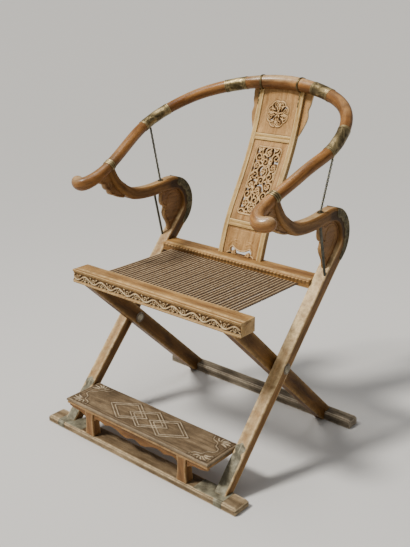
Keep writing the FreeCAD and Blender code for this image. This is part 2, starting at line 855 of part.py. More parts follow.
def pivot_pin():
    """The iron pin with a domed head at each end."""
    outer = frame_half_width + rosette_thickness
    inner = leg_inner_x - rosette_thickness - fit_gap
    pin = cross_pin(pin_radius, inner, outer, pivot_y, pivot_height)

    def head(base_x, outward):
        ball_radius = (pin_head_radius ** 2 + pin_head_height ** 2) / (2 * pin_head_height)
        ball_x = base_x + outward * (pin_head_height - ball_radius)
        ball = Part.makeSphere(ball_radius, Vector(ball_x, pivot_y, pivot_height))
        near, far = sorted((base_x, base_x + outward * pin_head_height))
        return ball.common(cross_pin(pin_head_radius, near, far, pivot_y, pivot_height))

    return pin.fuse([head(outer, 1), head(inner, -1)]).removeSplitter()


def drilled_disc(radius, near_x, far_x):
    """A disc on the pivot with running clearance round the pin."""
    disc = cross_pin(radius, near_x, far_x, pivot_y, pivot_height)
    return disc.cut(cross_pin(pin_radius + running_clearance, near_x, far_x, pivot_y, pivot_height))


def front_seat_rail():
    """The front rail, with a plain top over a sunk band for the carving."""
    front, back = front_rail_front, front_rail_back
    top, under = front_rail_top, front_rail_under
    lip, sink, groove = front_rail_lip, front_rail_sink, front_rail_groove
    points = [
        (back, under),
        (back, top),
        (front, top),
        (front, top - lip),
        (front + sink * 2, top - lip),
        (front + sink * 2, top - lip - groove),
        (front + sink, top - lip - groove),
        (front + sink, under + lip),
        (front, under + groove),
        (front, under),
    ]
    return side_polygon(points, -front_rail_length / 2, front_rail_length / 2)


def rear_seat_rail():
    """The rear rail between the posts, with a lip over the cords."""
    front, back = rear_rail_front, rear_rail_back
    top, under = rear_rail_top, rear_rail_under
    lip, sink = rear_rail_lip, rear_rail_sink
    points = [
        (back, under),
        (back, top),
        (front + sink, top),
        (front, top - lip / 2),
        (front, top - lip),
        (front + sink, top - lip),
        (front + sink, under),
    ]
    return side_polygon(points, -post_inner_x, post_inner_x)


def leg(rear_sill):
    """A straight leg, shouldered under the front rail and lapped over the rear runner."""
    half = leg_thickness / math.cos(leg_angle) / 2
    low, high = leg_floor_gap, front_rail_under
    corners = [
        (leg_centre_y(low) - half, low),
        (leg_centre_y(low) + half, low),
        (leg_centre_y(high) + half, high),
        (leg_centre_y(high) - half, high),
    ]
    bar = side_polygon(corners, leg_inner_x, leg_outer_x)
    shoulder = side_point(front_rail_back, high)
    up_leg = Vector(0, -math.sin(leg_angle), math.cos(leg_angle)) * leg_thickness
    behind_leg = Vector(0, math.cos(leg_angle), math.sin(leg_angle)) * leg_thickness
    waste = [shoulder, shoulder + behind_leg, shoulder + behind_leg + up_leg, shoulder + up_leg]
    bar = bar.cut(side_polygon([(point.y, point.z) for point in waste], leg_inner_x, leg_outer_x))
    hole = cross_pin(pin_radius + running_clearance, leg_inner_x, leg_outer_x, pivot_y, pivot_height)
    return largest(bar.cut(rear_sill).cut(hole))


def cord_seat():
    """Taut cords from the front rail to the rear rail, side by side in zigzag pairs."""
    start_y = front_rail_back
    end_y = rear_rail_front + rear_rail_sink
    count = int(cord_seat_half_width * 2 / cord_pitch)
    shift = cord_pitch * cord_skew_share
    cords = []
    for number in range(count + 1):
        x = (number - count / 2) * cord_pitch
        lean_x = shift if number % 2 else -shift
        start = Vector(x - lean_x, start_y, cord_height)
        end = Vector(x + lean_x, end_y, cord_height)
        reach = (end - start).normalize() * cord_radius
        cord = bar_between(start - reach, end + reach, cord_radius)
        room = block(-overall_depth, start_y, 0, overall_depth, end_y, overall_depth)
        cords.append(cord.common(room).Solids[0])
    return Part.makeCompound(cords)


def footrest_board():
    """The tread, with rounded edges and a socket at each end for its pintle."""
    half = footrest_length / 2
    back = front_edge + footrest_depth
    under = footrest_top - footrest_thickness
    board = block(-half, front_edge, under, half, back, footrest_top)
    top_edges = []
    for edge in board.Edges:
        box = edge.BoundBox
        if box.ZMin > under + footrest_thickness / 2 and box.YMax < back:
            top_edges.append(edge)
        if box.ZMin > under + footrest_thickness / 2 and box.XLength < fit_gap:
            top_edges.append(edge)
    unique = {edge.hashCode(): edge for edge in top_edges}
    board = board.makeFillet(footrest_edge_round, list(unique.values()))
    for side in (1, -1):
        inner = side * (half - pintle_length)
        near, far = sorted((inner, side * (half + overrun)))
        board = board.cut(cross_pin(pintle_radius, near, far, pintle_y, pintle_z))
    return board


def pintles():
    """The turned pins that carry the footrest between the posts."""
    pins = []
    for side in (1, -1):
        inner = side * (footrest_length / 2 - pintle_length)
        near, far = sorted((inner, side * (post_inner_x + pintle_length)))
        pins.append(cross_pin(pintle_radius, near, far, pintle_y, pintle_z))
    return Part.makeCompound(pins)


def footrest_foot():
    """A shaped foot that splays out to its toe."""
    low = front_runner_height + fit_gap
    high = footrest_top - footrest_thickness
    rise = high - low
    half, splay = footrest_foot_width / 2, footrest_foot_splay
    centre = footrest_foot_centre
    toe = low + rise * footrest_toe_share
    inner = [(centre - half, high), (centre - half + splay, low + rise / 2), (centre - half, toe)]
    outer = [(centre + half, toe), (centre + half - splay, low + rise / 2), (centre + half, high)]
    inner_line = smooth_edge([Vector(x, 0, z) for x, z in inner])
    outer_line = smooth_edge([Vector(x, 0, z) for x, z in outer])
    corners = [Vector(x, 0, z) for x, z in (inner[0], inner[-1], outer[0], outer[-1])]
    low_inner = Vector(corners[1].x, 0, low)
    low_outer = Vector(corners[2].x, 0, low)
    edges = [
        inner_line,
        Part.LineSegment(corners[1], low_inner).toShape(),
        Part.LineSegment(low_inner, low_outer).toShape(),
        Part.LineSegment(low_outer, corners[2]).toShape(),
        outer_line,
        Part.LineSegment(corners[3], corners[0]).toShape(),
    ]
    near_y = front_edge + apron_setback / 2
    return front_prism(Part.__sortEdges__(edges), near_y, near_y + footrest_foot_depth)


def footrest_apron():
    """The cusped apron under the front edge, one piece between the feet and one beyond each."""
    high = footrest_top - footrest_thickness
    near_y = front_edge + apron_setback
    inner_x = footrest_foot_centre - footrest_foot_width / 2
    outer_x = footrest_foot_centre + footrest_foot_width / 2
    half = []
    for span_share, drop_share in zip(apron_span_shares, apron_drop_shares):
        half.append(Vector(inner_x * (1 - span_share), 0, high - drop_share * apron_height))
    other = [Vector(-point.x, 0, point.z) for point in reversed(half[:-1])]
    cusp = 2
    edges = [
        smooth_edge(half[: cusp + 1]),
        smooth_edge(half[cusp:] + other[: len(other) - cusp]),
        smooth_edge(other[len(other) - cusp - 1 :]),
        Part.LineSegment(other[-1], Vector(-inner_x, 0, high)).toShape(),
        Part.LineSegment(Vector(-inner_x, 0, high), Vector(inner_x, 0, high)).toShape(),
        Part.LineSegment(Vector(inner_x, 0, high), half[0]).toShape(),
    ]
    middle = front_prism(Part.__sortEdges__(edges), near_y, near_y + apron_thickness)
    end_x = footrest_length / 2 - footrest_edge_round
    step = (end_x - outer_x) / (len(apron_end_shares) - 1)
    lower = []
    for count, drop_share in enumerate(apron_end_shares):
        lower.append(Vector(outer_x + step * count, 0, high - drop_share * apron_height))
    end_edges = [
        smooth_edge(lower),
        Part.LineSegment(lower[-1], Vector(end_x, 0, high)).toShape(),
        Part.LineSegment(Vector(end_x, 0, high), Vector(outer_x, 0, high)).toShape(),
        Part.LineSegment(Vector(outer_x, 0, high), lower[0]).toShape(),
    ]
    right_end = front_prism(Part.__sortEdges__(end_edges), near_y, near_y + apron_thickness)
    return Part.makeCompound([middle, right_end, mirrored(right_end)])


# Back frame: runner, posts and rear rail
front_sill = runner(front_runner_length, front_runner_depth, front_runner_height, front_edge)
save("front_runner", front_sill)
handle_room = crest_handle(fit_gap / 2)
plain_post = post_straight_and_bend().fuse(arm()).removeSplitter()
plain_post = plain_post.cut(room_over_rail(handle_band_reach - overrun * 2, handle_band_reach + overrun))
plain_post = largest(plain_post.cut(handle_room))
pin_hole = cross_pin(pin_radius + running_clearance, 0, frame_half_width + overrun, pivot_y, pivot_height)
pintle_hole = cross_pin(
    pintle_radius + running_clearance, 0, post_inner_x + pintle_length + fit_gap, pintle_y, pintle_z
)
both_sides("post", plain_post.cut(pin_hole).cut(pintle_hole))
save("rear_seat_rail", rear_seat_rail())

# Crest rail with its sleeves, which stand a little clear of the wood
top_room = crest_piece(-top_joint_reach, top_joint_reach, fit_gap / 2)
side_room = crest_piece(top_joint_reach, side_joint_reach, fit_gap / 2)
save("crest_top", crest_piece(-top_joint_reach, top_joint_reach))
both_sides("crest_side", crest_piece(top_joint_reach, side_joint_reach))
both_sides("crest_handle", crest_handle())
both_sides("crest_top_band", sleeve(top_joint_reach, top_band_length, band_wall, [top_room, side_room]))
side_band = sleeve(side_joint_reach, side_band_length, band_wall, [side_room, handle_room])
both_sides("crest_side_band", side_band)
bracket = leaf_bracket(plain_post, handle_room)
handle_band = sleeve(handle_band_reach, handle_band_length, handle_band_wall, [handle_room])
handle_band = largest(handle_band.cut(plain_post).cut(bracket))
both_sides("crest_handle_band", handle_band)
pair("neck_straps", neck_strap(plain_post, handle_room, handle_band))
pair("crest_rings", sleeve(ring_reach, ring_length, ring_wall, [top_room]))

# Splat
stile = splat_slab(splat_half_width - splat_stile_width, splat_half_width, 0, splat_thickness)
ring_near, ring_far = ring_reach - ring_length / 2 - fit_gap, ring_reach + ring_length / 2 + fit_gap
ring_room = crest_length_of(ring_near, ring_far, ring_wall + fit_gap / 2, 2)
both_sides("splat_stile", largest(stile.cut(top_room).cut(ring_room)))
inner_x = splat_half_width - splat_stile_width
cross_rail = splat_slab(-inner_x, inner_x, 0, splat_thickness)
save("splat_lower_rail", between_heights(cross_rail, lower_splat_rail, lower_splat_rail + splat_rail_height))
save("splat_upper_rail", between_heights(cross_rail, upper_splat_rail, upper_splat_rail + splat_rail_height))
bottom_panel = splat_panel(rear_rail_top, lower_splat_rail)
save("splat_bottom_panel", largest(bottom_panel.cut(arch_cutter())))
carving_low = lower_splat_rail + splat_rail_height
middle_panel = splat_panel(carving_low, upper_splat_rail)
save("splat_middle_panel", middle_panel.cut(carving_cutters(carving_low, upper_splat_rail)))
panel_low = upper_splat_rail + splat_rail_height
panel_high = rear_rail_top + splat_height
medallion_z = panel_low + (panel_high - panel_low) * medallion_height_share
top_panel = largest(splat_panel(panel_low, panel_high).cut(top_room))
save("splat_top_panel", top_panel.cut(medallion_cutters(medallion_z)))
both_sides("splat_wing", largest(wing().cut(top_room)))

# Carved boards and iron rods of each side
both_sides("spandrel", spandrel(plain_post))
both_sides("handle_bracket", bracket)
rail_room = crest_piece(side_joint_reach, handle_band_reach, band_wall + fit_gap)
rod = upper_rod(plain_post, rail_room)
both_sides("upper_rod", rod)
both_sides("lower_rod", lower_rod(plain_post))
pair("rod_plates", rod_plate(plain_post, rod))
both_sides("elbow_mount", elbow_mount())
both_sides("post_shoe", post_shoe())
both_sides("runner_saddle", runner_saddle())

# Pivot
both_sides("pivot_pin", pivot_pin())
rosette_face = frame_half_width + rosette_thickness
both_sides("pivot_rosette", drilled_disc(rosette_radius, frame_half_width, rosette_face))
pair("pivot_washers", drilled_disc(washer_radius, post_inner_x - washer_thickness, post_inner_x))
pair("leg_rosettes", drilled_disc(rosette_radius, leg_inner_x - rosette_thickness, leg_inner_x))

# Seat frame
rear_sill = runner(rear_runner_length, rear_runner_depth, rear_runner_height, rear_runner_front)
save("rear_runner", rear_sill)
both_sides("leg", leg(rear_sill))
save("front_seat_rail", front_seat_rail())
save("seat_cords", cord_seat())

# Footrest
save("footrest_board", footrest_board())
save("footrest_pintles", pintles())
both_sides("footrest_foot", footrest_foot())
save("footrest_apron", footrest_apron())
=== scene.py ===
"""Surfaces, finishes, light and camera for the folding armchair with a horseshoe back.

Places are worked out in millimetres in the frame of the solids: X across the chair, +Y to its back,
+Z up, with the origin on the floor. They turn to metres when a mesh is made.
"""
import math

import bpy
import numpy as np
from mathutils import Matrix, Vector


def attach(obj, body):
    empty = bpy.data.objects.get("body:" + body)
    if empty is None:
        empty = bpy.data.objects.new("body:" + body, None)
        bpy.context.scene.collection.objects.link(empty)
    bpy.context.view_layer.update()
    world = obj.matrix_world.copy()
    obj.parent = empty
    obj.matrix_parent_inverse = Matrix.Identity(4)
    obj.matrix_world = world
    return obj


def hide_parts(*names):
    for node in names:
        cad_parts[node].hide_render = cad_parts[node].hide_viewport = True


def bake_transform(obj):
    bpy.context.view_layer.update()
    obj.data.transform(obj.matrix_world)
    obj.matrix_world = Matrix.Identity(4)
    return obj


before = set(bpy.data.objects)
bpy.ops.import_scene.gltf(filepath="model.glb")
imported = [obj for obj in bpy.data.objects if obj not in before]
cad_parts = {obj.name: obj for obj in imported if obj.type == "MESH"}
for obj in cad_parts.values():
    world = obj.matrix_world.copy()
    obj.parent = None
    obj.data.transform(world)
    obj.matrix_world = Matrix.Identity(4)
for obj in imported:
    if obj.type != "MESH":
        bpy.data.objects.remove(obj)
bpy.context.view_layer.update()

MILLIMETRE = 0.001
LEFT_AND_RIGHT = (("right", 1.0), ("left", -1.0))
# Each piece takes its grain from another place in the figure, a shift along this line
GRAIN_STEP = np.array([1.0, 0.7, 0.3])


# Curves and sections


def unit(rows):
    """Each row divided by its own length."""
    return rows / np.maximum(np.linalg.norm(rows, axis=-1, keepdims=True), 1e-9)


def heading(angle):
    """A step of one at an angle: its cosine and its sine."""
    return np.array([math.cos(angle), math.sin(angle)])


def bell(distance, width):
    """A bell curve: e to minus the square of the distance over the width."""
    return np.exp(-((distance / width) ** 2))


def run_along(line):
    """The distance travelled along a line at each of its points."""
    return np.r_[0, np.cumsum(np.linalg.norm(np.diff(line, axis=0), axis=1))]


def read_along(marks, run, rows):
    """Rows that are known at distances run, read off at the marks in straight steps."""
    return np.stack([np.interp(marks, run, column) for column in rows.T], 1)


def evenly(line, count):
    """The line again with its points evenly spaced along its length."""
    run = run_along(line)
    return read_along(np.linspace(0, run[-1], count), run, line)


def curve_through(points, count):
    """A smooth curve through the points, evenly spaced.

    Cubic pieces over the chord length. Their second slopes solve the tridiagonal equations that
    make first slopes agree at each point, with none at the two ends.
    """
    points = np.asarray(points, float)
    chord = run_along(points)
    gaps = np.diff(chord)
    size = len(points)
    inner = np.arange(1, size - 1)
    matrix = np.eye(size)
    matrix[inner, inner - 1] = gaps[:-1]
    matrix[inner, inner] = 2 * (gaps[:-1] + gaps[1:])
    matrix[inner, inner + 1] = gaps[1:]
    slopes = np.diff(points, axis=0) / gaps[:, None]
    right = np.zeros_like(points)
    right[1:-1] = 6 * (slopes[1:] - slopes[:-1])
    bends = np.linalg.solve(matrix, right)
    dense = np.linspace(0, chord[-1], count * 12)
    k = np.clip(np.searchsorted(chord, dense, side="right") - 1, 0, size - 2)
    gap = gaps[k][:, None]
    ahead = (chord[k + 1] - dense)[:, None]
    behind = (dense - chord[k])[:, None]
    line = bends[k] * ahead**3 / (6 * gap) + bends[k + 1] * behind**3 / (6 * gap)
    line += (points[k] / gap - bends[k] * gap / 6) * ahead
    line += (points[k + 1] / gap - bends[k + 1] * gap / 6) * behind
    return evenly(line, count)


def smooth_share(share):
    """Eases from 0 to 1: three times the square less twice the cube."""
    share = np.clip(share, 0, 1)
    return share * share * (3 - 2 * share)


# The four corners of a bar as signs of across and above, and how worn a flat's five points are
CORNER_SIGNS = ((1, 1), (-1, 1), (-1, -1), (1, -1))
FLAT_SHARES = np.array([0.08, 0.22, 0.5, 0.78, 0.92])
FLAT_WEAR = [0.45, 0.1, 0.0, 0.1, 0.45]
BAR_POINTS = 40
LEFT_FLAT, FRONT_FLAT, RIGHT_FLAT = slice(15, 20), slice(25, 30), slice(35, 40)


def bar_section(half_wide, half_tall, corner, steps=4):
    """Rounded rectangles, one for each row.

    Each corner is a quarter circle, and each flat has five points, so that wear can fade across it.
    Gives the outlines (rows, points, 2) and how worn each point is.
    """
    half_wide, half_tall, corner = np.broadcast_arrays(
        *[np.atleast_1d(np.asarray(value, float)) for value in (half_wide, half_tall, corner)]
    )
    corner = np.minimum(corner, np.minimum(half_wide, half_tall) * 0.98)
    quarter = np.linspace(0, math.pi / 2, steps + 1)
    outlines = []
    for number in range(4):
        turn = quarter + number * math.pi / 2
        sides = []
        for axis, half, swing in ((0, half_wide, np.cos), (1, half_tall, np.sin)):
            this_sign, next_sign = CORNER_SIGNS[number][axis], CORNER_SIGNS[(number + 1) % 4][axis]
            arc = this_sign * (half - corner)[:, None] + corner[:, None] * swing(turn)
            ahead = next_sign * (half - corner) + corner * swing(turn[-1])
            flat = arc[:, -1:] + (ahead[:, None] - arc[:, -1:]) * FLAT_SHARES
            sides.append(np.hstack([arc, flat]))
        outlines.append(np.stack(sides, 2))
    return np.concatenate(outlines, 1), np.array(([1.0] * (steps + 1) + FLAT_WEAR) * 4)


def profile_section(corners, radius, steps=3):
    """One closed outline with each corner rounded.

    Each corner becomes a quadratic curve that starts and ends at most a radius from it. Each flat has
    points near its ends, so that wear can fade across it. Gives the outline and its wear.
    """
    corners = np.asarray(corners, float)
    before = np.roll(corners, 1, 0)
    after = np.roll(corners, -1, 0)
    reach_in = np.minimum(radius, 0.42 * np.linalg.norm(before - corners, axis=1))
    reach_out = np.minimum(radius, 0.42 * np.linalg.norm(after - corners, axis=1))
    start = corners + unit(before - corners) * reach_in[:, None]
    end = corners + unit(after - corners) * reach_out[:, None]
    share = np.linspace(0, 1, steps + 1)[None, :, None]
    bent = (1 - share) ** 2 * start[:, None] + 2 * share * (1 - share) * corners[:, None]
    bent = bent + share**2 * end[:, None]
    following = np.roll(start, -1, 0)
    flats = np.array([0.1, 0.5, 0.9])[None, :, None]
    level = end[:, None] + (following - end)[:, None] * flats
    outline = np.concatenate([bent, level], 1).reshape(-1, 2)
    wear_and_light = np.tile(np.r_[np.ones(steps + 1), 0.3, 0.0, 0.3], len(corners))
    return outline, wear_and_light


def ring_points(radius, turn):
    """Points about a middle: the radius times the cosine and the sine of the turn."""
    return np.stack([radius * np.cos(turn), radius * np.sin(turn)], 2)


CIRCLE_POINTS = 28


def circle_section(radius):
    """Circles, one for each row."""
    return ring_points(np.atleast_1d(radius)[:, None], np.arange(CIRCLE_POINTS) * math.tau / CIRCLE_POINTS)


# Meshes


def facing_out(points, faces):
    """The faces again, all turned round if the volume that they close is negative."""
    volume = 0.0
    for block in faces:
        for k in range(1, block.shape[1] - 1):
            a, b, c = points[block[:, 0]], points[block[:, k]], points[block[:, k + 1]]
            volume += np.einsum("ij,ij->", a, np.cross(b, c))
    return faces if volume > 0 else [block[:, ::-1] for block in faces]


def linked(thing):
    """An object that is put into the scene."""
    bpy.context.scene.collection.objects.link(thing)
    return thing


def add_mesh(name, points, faces, finish, body="back_frame", replaced=(), grain=None, wear_and_light=None, crease=40.0):
    """One finished piece from points in millimetres and blocks of faces, carried by a body.

    An empty body leaves the piece unattached.
    """
    points = np.asarray(points, float)
    faces = facing_out(points - points.mean(0), [block for block in faces if len(block)])
    loops = np.concatenate([block.ravel() for block in faces])
    sizes = np.concatenate([np.full(len(block), block.shape[1]) for block in faces])
    grain = points if grain is None else np.asarray(grain)
    wear_and_light = np.zeros(len(points)) if wear_and_light is None else wear_and_light
    mesh = bpy.data.meshes.new(name)
    mesh.vertices.add(len(points))
    mesh.vertices.foreach_set("co", (points * MILLIMETRE).astype(np.float32).ravel())
    mesh.loops.add(len(loops))
    mesh.loops.foreach_set("vertex_index", loops.astype(np.int32))
    mesh.polygons.add(len(sizes))
    mesh.polygons.foreach_set("loop_start", np.r_[0, np.cumsum(sizes)[:-1]].astype(np.int32))
    mesh.polygons.foreach_set("use_smooth", np.ones(len(sizes), bool))
    mesh.update(calc_edges=True)
    mesh.validate()
    mesh.set_sharp_from_angle(angle=math.radians(crease))
    place = mesh.attributes.new("grain", "FLOAT_VECTOR", "POINT")
    place.data.foreach_set("vector", (grain * MILLIMETRE).astype(np.float32).ravel())
    # This attribute carries wear, and on many pieces painted light as well: painted shade below zero and
    # painted highlights above.
    rubbed = mesh.attributes.new("wear_and_light", "FLOAT", "POINT")
    rubbed.data.foreach_set("value", wear_and_light.astype(np.float32))
    mesh.materials.append(finish)
    piece = linked(bpy.data.objects.new(name, mesh))
    if body:
        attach(piece, body)
    if replaced:
        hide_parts(*replaced)
    return piece


def grid_faces(rows, columns):
    """Four-sided faces between neighbouring points of a tube of rows and columns."""
    row = np.arange(rows - 1)[:, None] * columns
    column = np.arange(columns)[None, :]
    beside = (column + 1) % columns
    corners = [row + column, row + beside, row + columns + beside, row + columns + column]
    return np.stack(np.broadcast_arrays(*corners), 2).reshape(-1, 4)


def tube_faces(rows, columns):
    """The faces of a tube, and at each end a fan about a last point, as with_middles adds them."""
    last = (rows - 1) * columns
    here = np.arange(columns)
    beside = (here + 1) % columns
    first_cap = np.stack([beside, here, np.full(columns, rows * columns)], 1)
    last_cap = np.stack([last + here, last + beside, np.full(columns, rows * columns + 1)], 1)
    return [grid_faces(rows, columns), first_cap, last_cap]


def with_middles(grid):
    """A grid's points in one list, and after them the middle of the first row and of the last."""
    return np.vstack([grid.reshape(-1, 3), grid[0].mean(0), grid[-1].mean(0)])


def swept(
    name, centre, across, above, outline, finish, body="back_frame", wear_and_light=None, end_round=0.0, shift=0.0, **rest
):
    """An outline carried along a path, with rounded and closed ends.

    A point is the path's point, plus the outline's first number times the across direction, plus its
    second times the above direction. At each end five rows shrink by a quarter circle.
    """
    rows = len(centre)
    outline = np.broadcast_to(outline, (rows,) + outline.shape[-2:])
    columns = outline.shape[1]
    across, above = [np.broadcast_to(way, centre.shape) for way in (across, above)]
    rub = np.array(np.broadcast_to(0.0 if wear_and_light is None else wear_and_light, (rows, columns)), float)
    along = run_along(centre)
    if end_round:
        back = end_round * np.array([1.0, 0.62, 0.29, 0.08, 0.0])
        inset = end_round - np.sqrt(np.maximum(end_round**2 - (end_round - back) ** 2, 0))
        inset = inset[::-1]
        marks = np.r_[back[::-1], along[(along > end_round * 1.3) & (along < along[-1] - end_round * 1.3)]]
        marks = np.r_[marks, along[-1] - back]
        insets = np.r_[inset, np.zeros(len(marks) - 2 * len(inset)), inset[::-1]]

        def at(values):
            new = read_along(marks, along, values.reshape(rows, -1))
            return new.reshape((len(marks),) + values.shape[1:])

        centre, across, above, outline, rub = [at(values) for values in (centre, across, above, outline, rub)]
        half = np.maximum(np.abs(outline).max(1, keepdims=True), 1e-6)
        outline = outline * (1 - np.minimum(insets[:, None, None] / half, 0.9))
        along = marks
        rows = len(marks)
        rub[:4] = np.maximum(rub[:4], 0.8)
        rub[-4:] = np.maximum(rub[-4:], 0.8)
    points = centre[:, None] + outline[:, :, :1] * across[:, None] + outline[:, :, 1:] * above[:, None]
    grain = np.concatenate([np.broadcast_to(along[:, None, None], (rows, columns, 1)), outline], 2)
    return add_mesh(
        name, with_middles(points), tube_faces(rows, columns), finish, body, wear_and_light=np.r_[rub.ravel(), 0.3, 0.3],
        grain=with_middles(grain) + shift * GRAIN_STEP, **rest
    )


def straight(start, end, count):
    """Evenly spaced points from start to end."""
    share = np.linspace(0, 1, count)[:, None]
    return np.asarray(start, float) * (1 - share) + np.asarray(end, float) * share


def board(
    name, low, high, step, inside, front, back, place, finish, body="back_frame", grain_turn=0, shift=0.0,
    rubbing_and_shade=None, **rest
):
    """A board cut along the line where the field inside(u, v) is zero, pierced where it is below.

    Cells of the grid whose middle has a positive field stay. The points beside dropped cells slide
    down the field's slope on to the zero line. The two faces lie at front(u, v, depth) and
    back(u, v, depth), where depth is the field, about the distance from the nearest edge. A flat back
    is given as a number. The front is worn at its edges, and the field passed for wear and shade adds
    to that; below zero it darkens the front, painted shade in a sunk ground or groove.
    """
    count_u, count_v = [int(round((high[k] - low[k]) / step)) + 3 for k in range(2)]
    u, v = np.meshgrid(
        low[0] + (np.arange(count_u) - 1) * step, low[1] + (np.arange(count_v) - 1) * step, indexing="ij"
    )
    field = inside(u, v)
    kept = (field[:-1, :-1] + field[1:, :-1] + field[:-1, 1:] + field[1:, 1:]) / 4 > 0
    kept[0] = kept[-1] = False
    kept[:, 0] = kept[:, -1] = False
    full = np.pad(kept, 1)
    corners = [full[:-1, :-1], full[1:, :-1], full[:-1, 1:], full[1:, 1:]]
    touched = np.any(corners, axis=0)
    edge = touched & ~np.all(corners, axis=0)
    slope_u, slope_v = np.gradient(field, step)
    slide = np.where(edge, field / np.maximum(slope_u**2 + slope_v**2, 0.15), 0.0)
    limit = step * 0.72
    u = u - np.clip(slide * slope_u, -limit, limit)
    v = v - np.clip(slide * slope_v, -limit, limit)
    depth = np.where(edge, 0.0, np.maximum(field, 0.0))
    total = int(touched.sum())
    number = np.full(field.shape, -1)
    number[touched] = np.arange(total)
    u, v, depth = u[touched], v[touched], depth[touched]
    front_rise = front(u, v, depth)
    back_rise = back(u, v, depth) if callable(back) else np.full(total, back)
    points = np.vstack([place(u, v, front_rise), place(u, v, back_rise)])
    row, column = np.nonzero(kept)
    quad = np.stack(
        [number[row, column], number[row + 1, column], number[row + 1, column + 1], number[row, column + 1]], 1
    )
    faces = [quad, quad[:, ::-1] + total]
    whole = full.astype(int)
    for change, step_u, step_v in (
        (whole[1:, 1:-1] - whole[:-1, 1:-1], 0, 1), (whole[1:-1, 1:] - whole[1:-1, :-1], 1, 0),
    ):
        row, column = np.nonzero(change)
        first, second = number[row, column], number[row + step_u, column + step_v]
        wall = np.stack([first, second, second + total, first + total], 1)
        turned = (change[row, column] > 0) == (step_v > 0)
        faces.append(np.where(turned[:, None], wall[:, ::-1], wall))
    grain = np.stack([v, u, front_rise] if grain_turn else [u, v, front_rise], 1)
    rub = bell(depth, step * 1.3)
    if rubbing_and_shade is not None:
        rub = np.clip(rub * 0.5 + rubbing_and_shade(u, v), -1, 1)
    return add_mesh(
        name, points, faces, finish, body, grain=np.vstack([grain, grain - [0, 0, 9.0]]) + shift * GRAIN_STEP,
        wear_and_light=np.r_[rub, rub * 0.6], **rest
    )


# Fields for outlines and carving, in millimetres


def within_box(u, v, low, high):
    """How far a point is inside a rectangle, below zero outside."""
    return np.minimum(np.minimum(u - low[0], high[0] - u), np.minimum(v - low[1], high[1] - v))


def within_outline(u, v, outline):
    """How far a point is inside a closed outline, below zero outside.

    The distance is the least to any of the outline's edges. A point is inside when a ray from it
    crosses an odd number of edges.
    """
    outline = np.asarray(outline, float)
    following = np.roll(outline, -1, 0)
    flat_u, flat_v = u.ravel(), v.ravel()
    nearest = np.full(flat_u.shape, 1e9)
    crossings = np.zeros(flat_u.shape, int)
    for start in range(0, len(outline), 24):
        a, b = outline[start : start + 24], following[start : start + 24]
        edge = b - a
        from_a = np.stack([flat_u[:, None] - a[:, 0], flat_v[:, None] - a[:, 1]], 2)
        share = np.clip((from_a * edge).sum(2) / np.maximum((edge**2).sum(1), 1e-9), 0, 1)
        away = from_a - share[:, :, None] * edge
        nearest = np.minimum(nearest, np.sqrt((away**2).sum(2)).min(1))
        astride = (a[:, 1] > flat_v[:, None]) != (b[:, 1] > flat_v[:, None])
        slope = (b[:, 0] - a[:, 0]) / np.where(b[:, 1] == a[:, 1], 1e-9, b[:, 1] - a[:, 1])
        reach = a[:, 0] + slope * (flat_v[:, None] - a[:, 1])
        crossings += (astride & (flat_u[:, None] < reach)).sum(1)
    signed = np.where(crossings % 2 == 1, nearest, -nearest)
    return signed.reshape(u.shape)


def within_strokes(u, v, strokes):
    """How far a point is inside the nearest carved stroke, below zero outside.

    A stroke is a line of points with a half width at each. The value is the half width less the
    distance to the nearest point of the line, and the largest over all strokes is kept.
    """
    best = np.full(u.shape, -60.0)
    for line, half_width in strokes:
        reach = half_width.max() + 7.0
        low, high = line.min(0) - reach, line.max(0) + reach
        near = (u > low[0]) & (u < high[0]) & (v > low[1]) & (v < high[1])
        if not near.any():
            continue
        distance = np.hypot(u[near][:, None] - line[:, 0], v[near][:, None] - line[:, 1])
        value = (half_width - distance).max(1)
        best[near] = np.maximum(best[near], value)
    return best


def scroll(centre, outer, inner, first_turn, turns, half_width, count=70):
    """A volute: its radius falls evenly from outer to inner as it turns, and it thins as it goes."""
    share = np.linspace(0, 1, count)
    angle = first_turn + turns * share * math.tau
    radius = outer + (inner - outer) * share
    line = np.stack([centre[0] + radius * np.cos(angle), centre[1] + radius * np.sin(angle)], 1)
    width = half_width * (1.0 - 0.35 * share)
    width[-4:] = width[-4:] * 1.25
    return line, width


def leaf(start, end, bow, half_width, count=36):
    """A leaf along a bowed line, widest in the middle: half width times the sine's root."""
    start, end = np.asarray(start, float), np.asarray(end, float)
    share = np.linspace(0, 1, count)
    along = end - start
    beside = np.array([-along[1], along[0]])
    line = start + share[:, None] * along + (np.sin(math.pi * share) * bow)[:, None] * beside
    width = half_width * np.sqrt(np.maximum(np.sin(math.pi * (0.06 + 0.88 * share)), 0))
    return line, width


def stem(points, half_width, count=80):
    """A stroke of one width along a smooth curve."""
    line = curve_through(points, count)
    return line, np.full(count, half_width)


def blossom(centre, radius, petals, turn, half_width):
    """A flower: short leaves from its middle outward, and a round bud."""
    centre = np.asarray(centre, float)
    strokes = []
    for petal in range(petals):
        out = heading(turn + petal * math.tau / petals) * radius
        strokes.append(leaf(centre + out * 0.3, centre + out, 0.0, half_width, 14))
    return strokes + [(centre[None], np.array([radius * 0.24]))]


def flipped(strokes):
    """The strokes mirrored about the middle of the chair."""
    return [(line * [-1, 1], width) for line, width in strokes]


def dome(inside, width, height):
    """A rounded rise: the height times the root of a circle's arc across the stroke."""
    share = np.clip(inside / width, 0, 1)
    return height * np.sqrt(1 - (1 - share) ** 2)


def eased_edge(depth, radius):
    """How far a face falls away near its edge, by a quarter circle of the radius."""
    into = np.clip(radius - depth, 0, radius)
    return radius - np.sqrt(radius**2 - into**2)


# Finishes


def add_node(tree, kind, inputs=None, **settings):
    """A shader node with its settings and unlinked inputs filled in."""
    node = tree.nodes.new(kind)
    for name, value in settings.items():
        setattr(node, name, value)
    for name, value in (inputs or {}).items():
        node.inputs[name].default_value = value
    return node


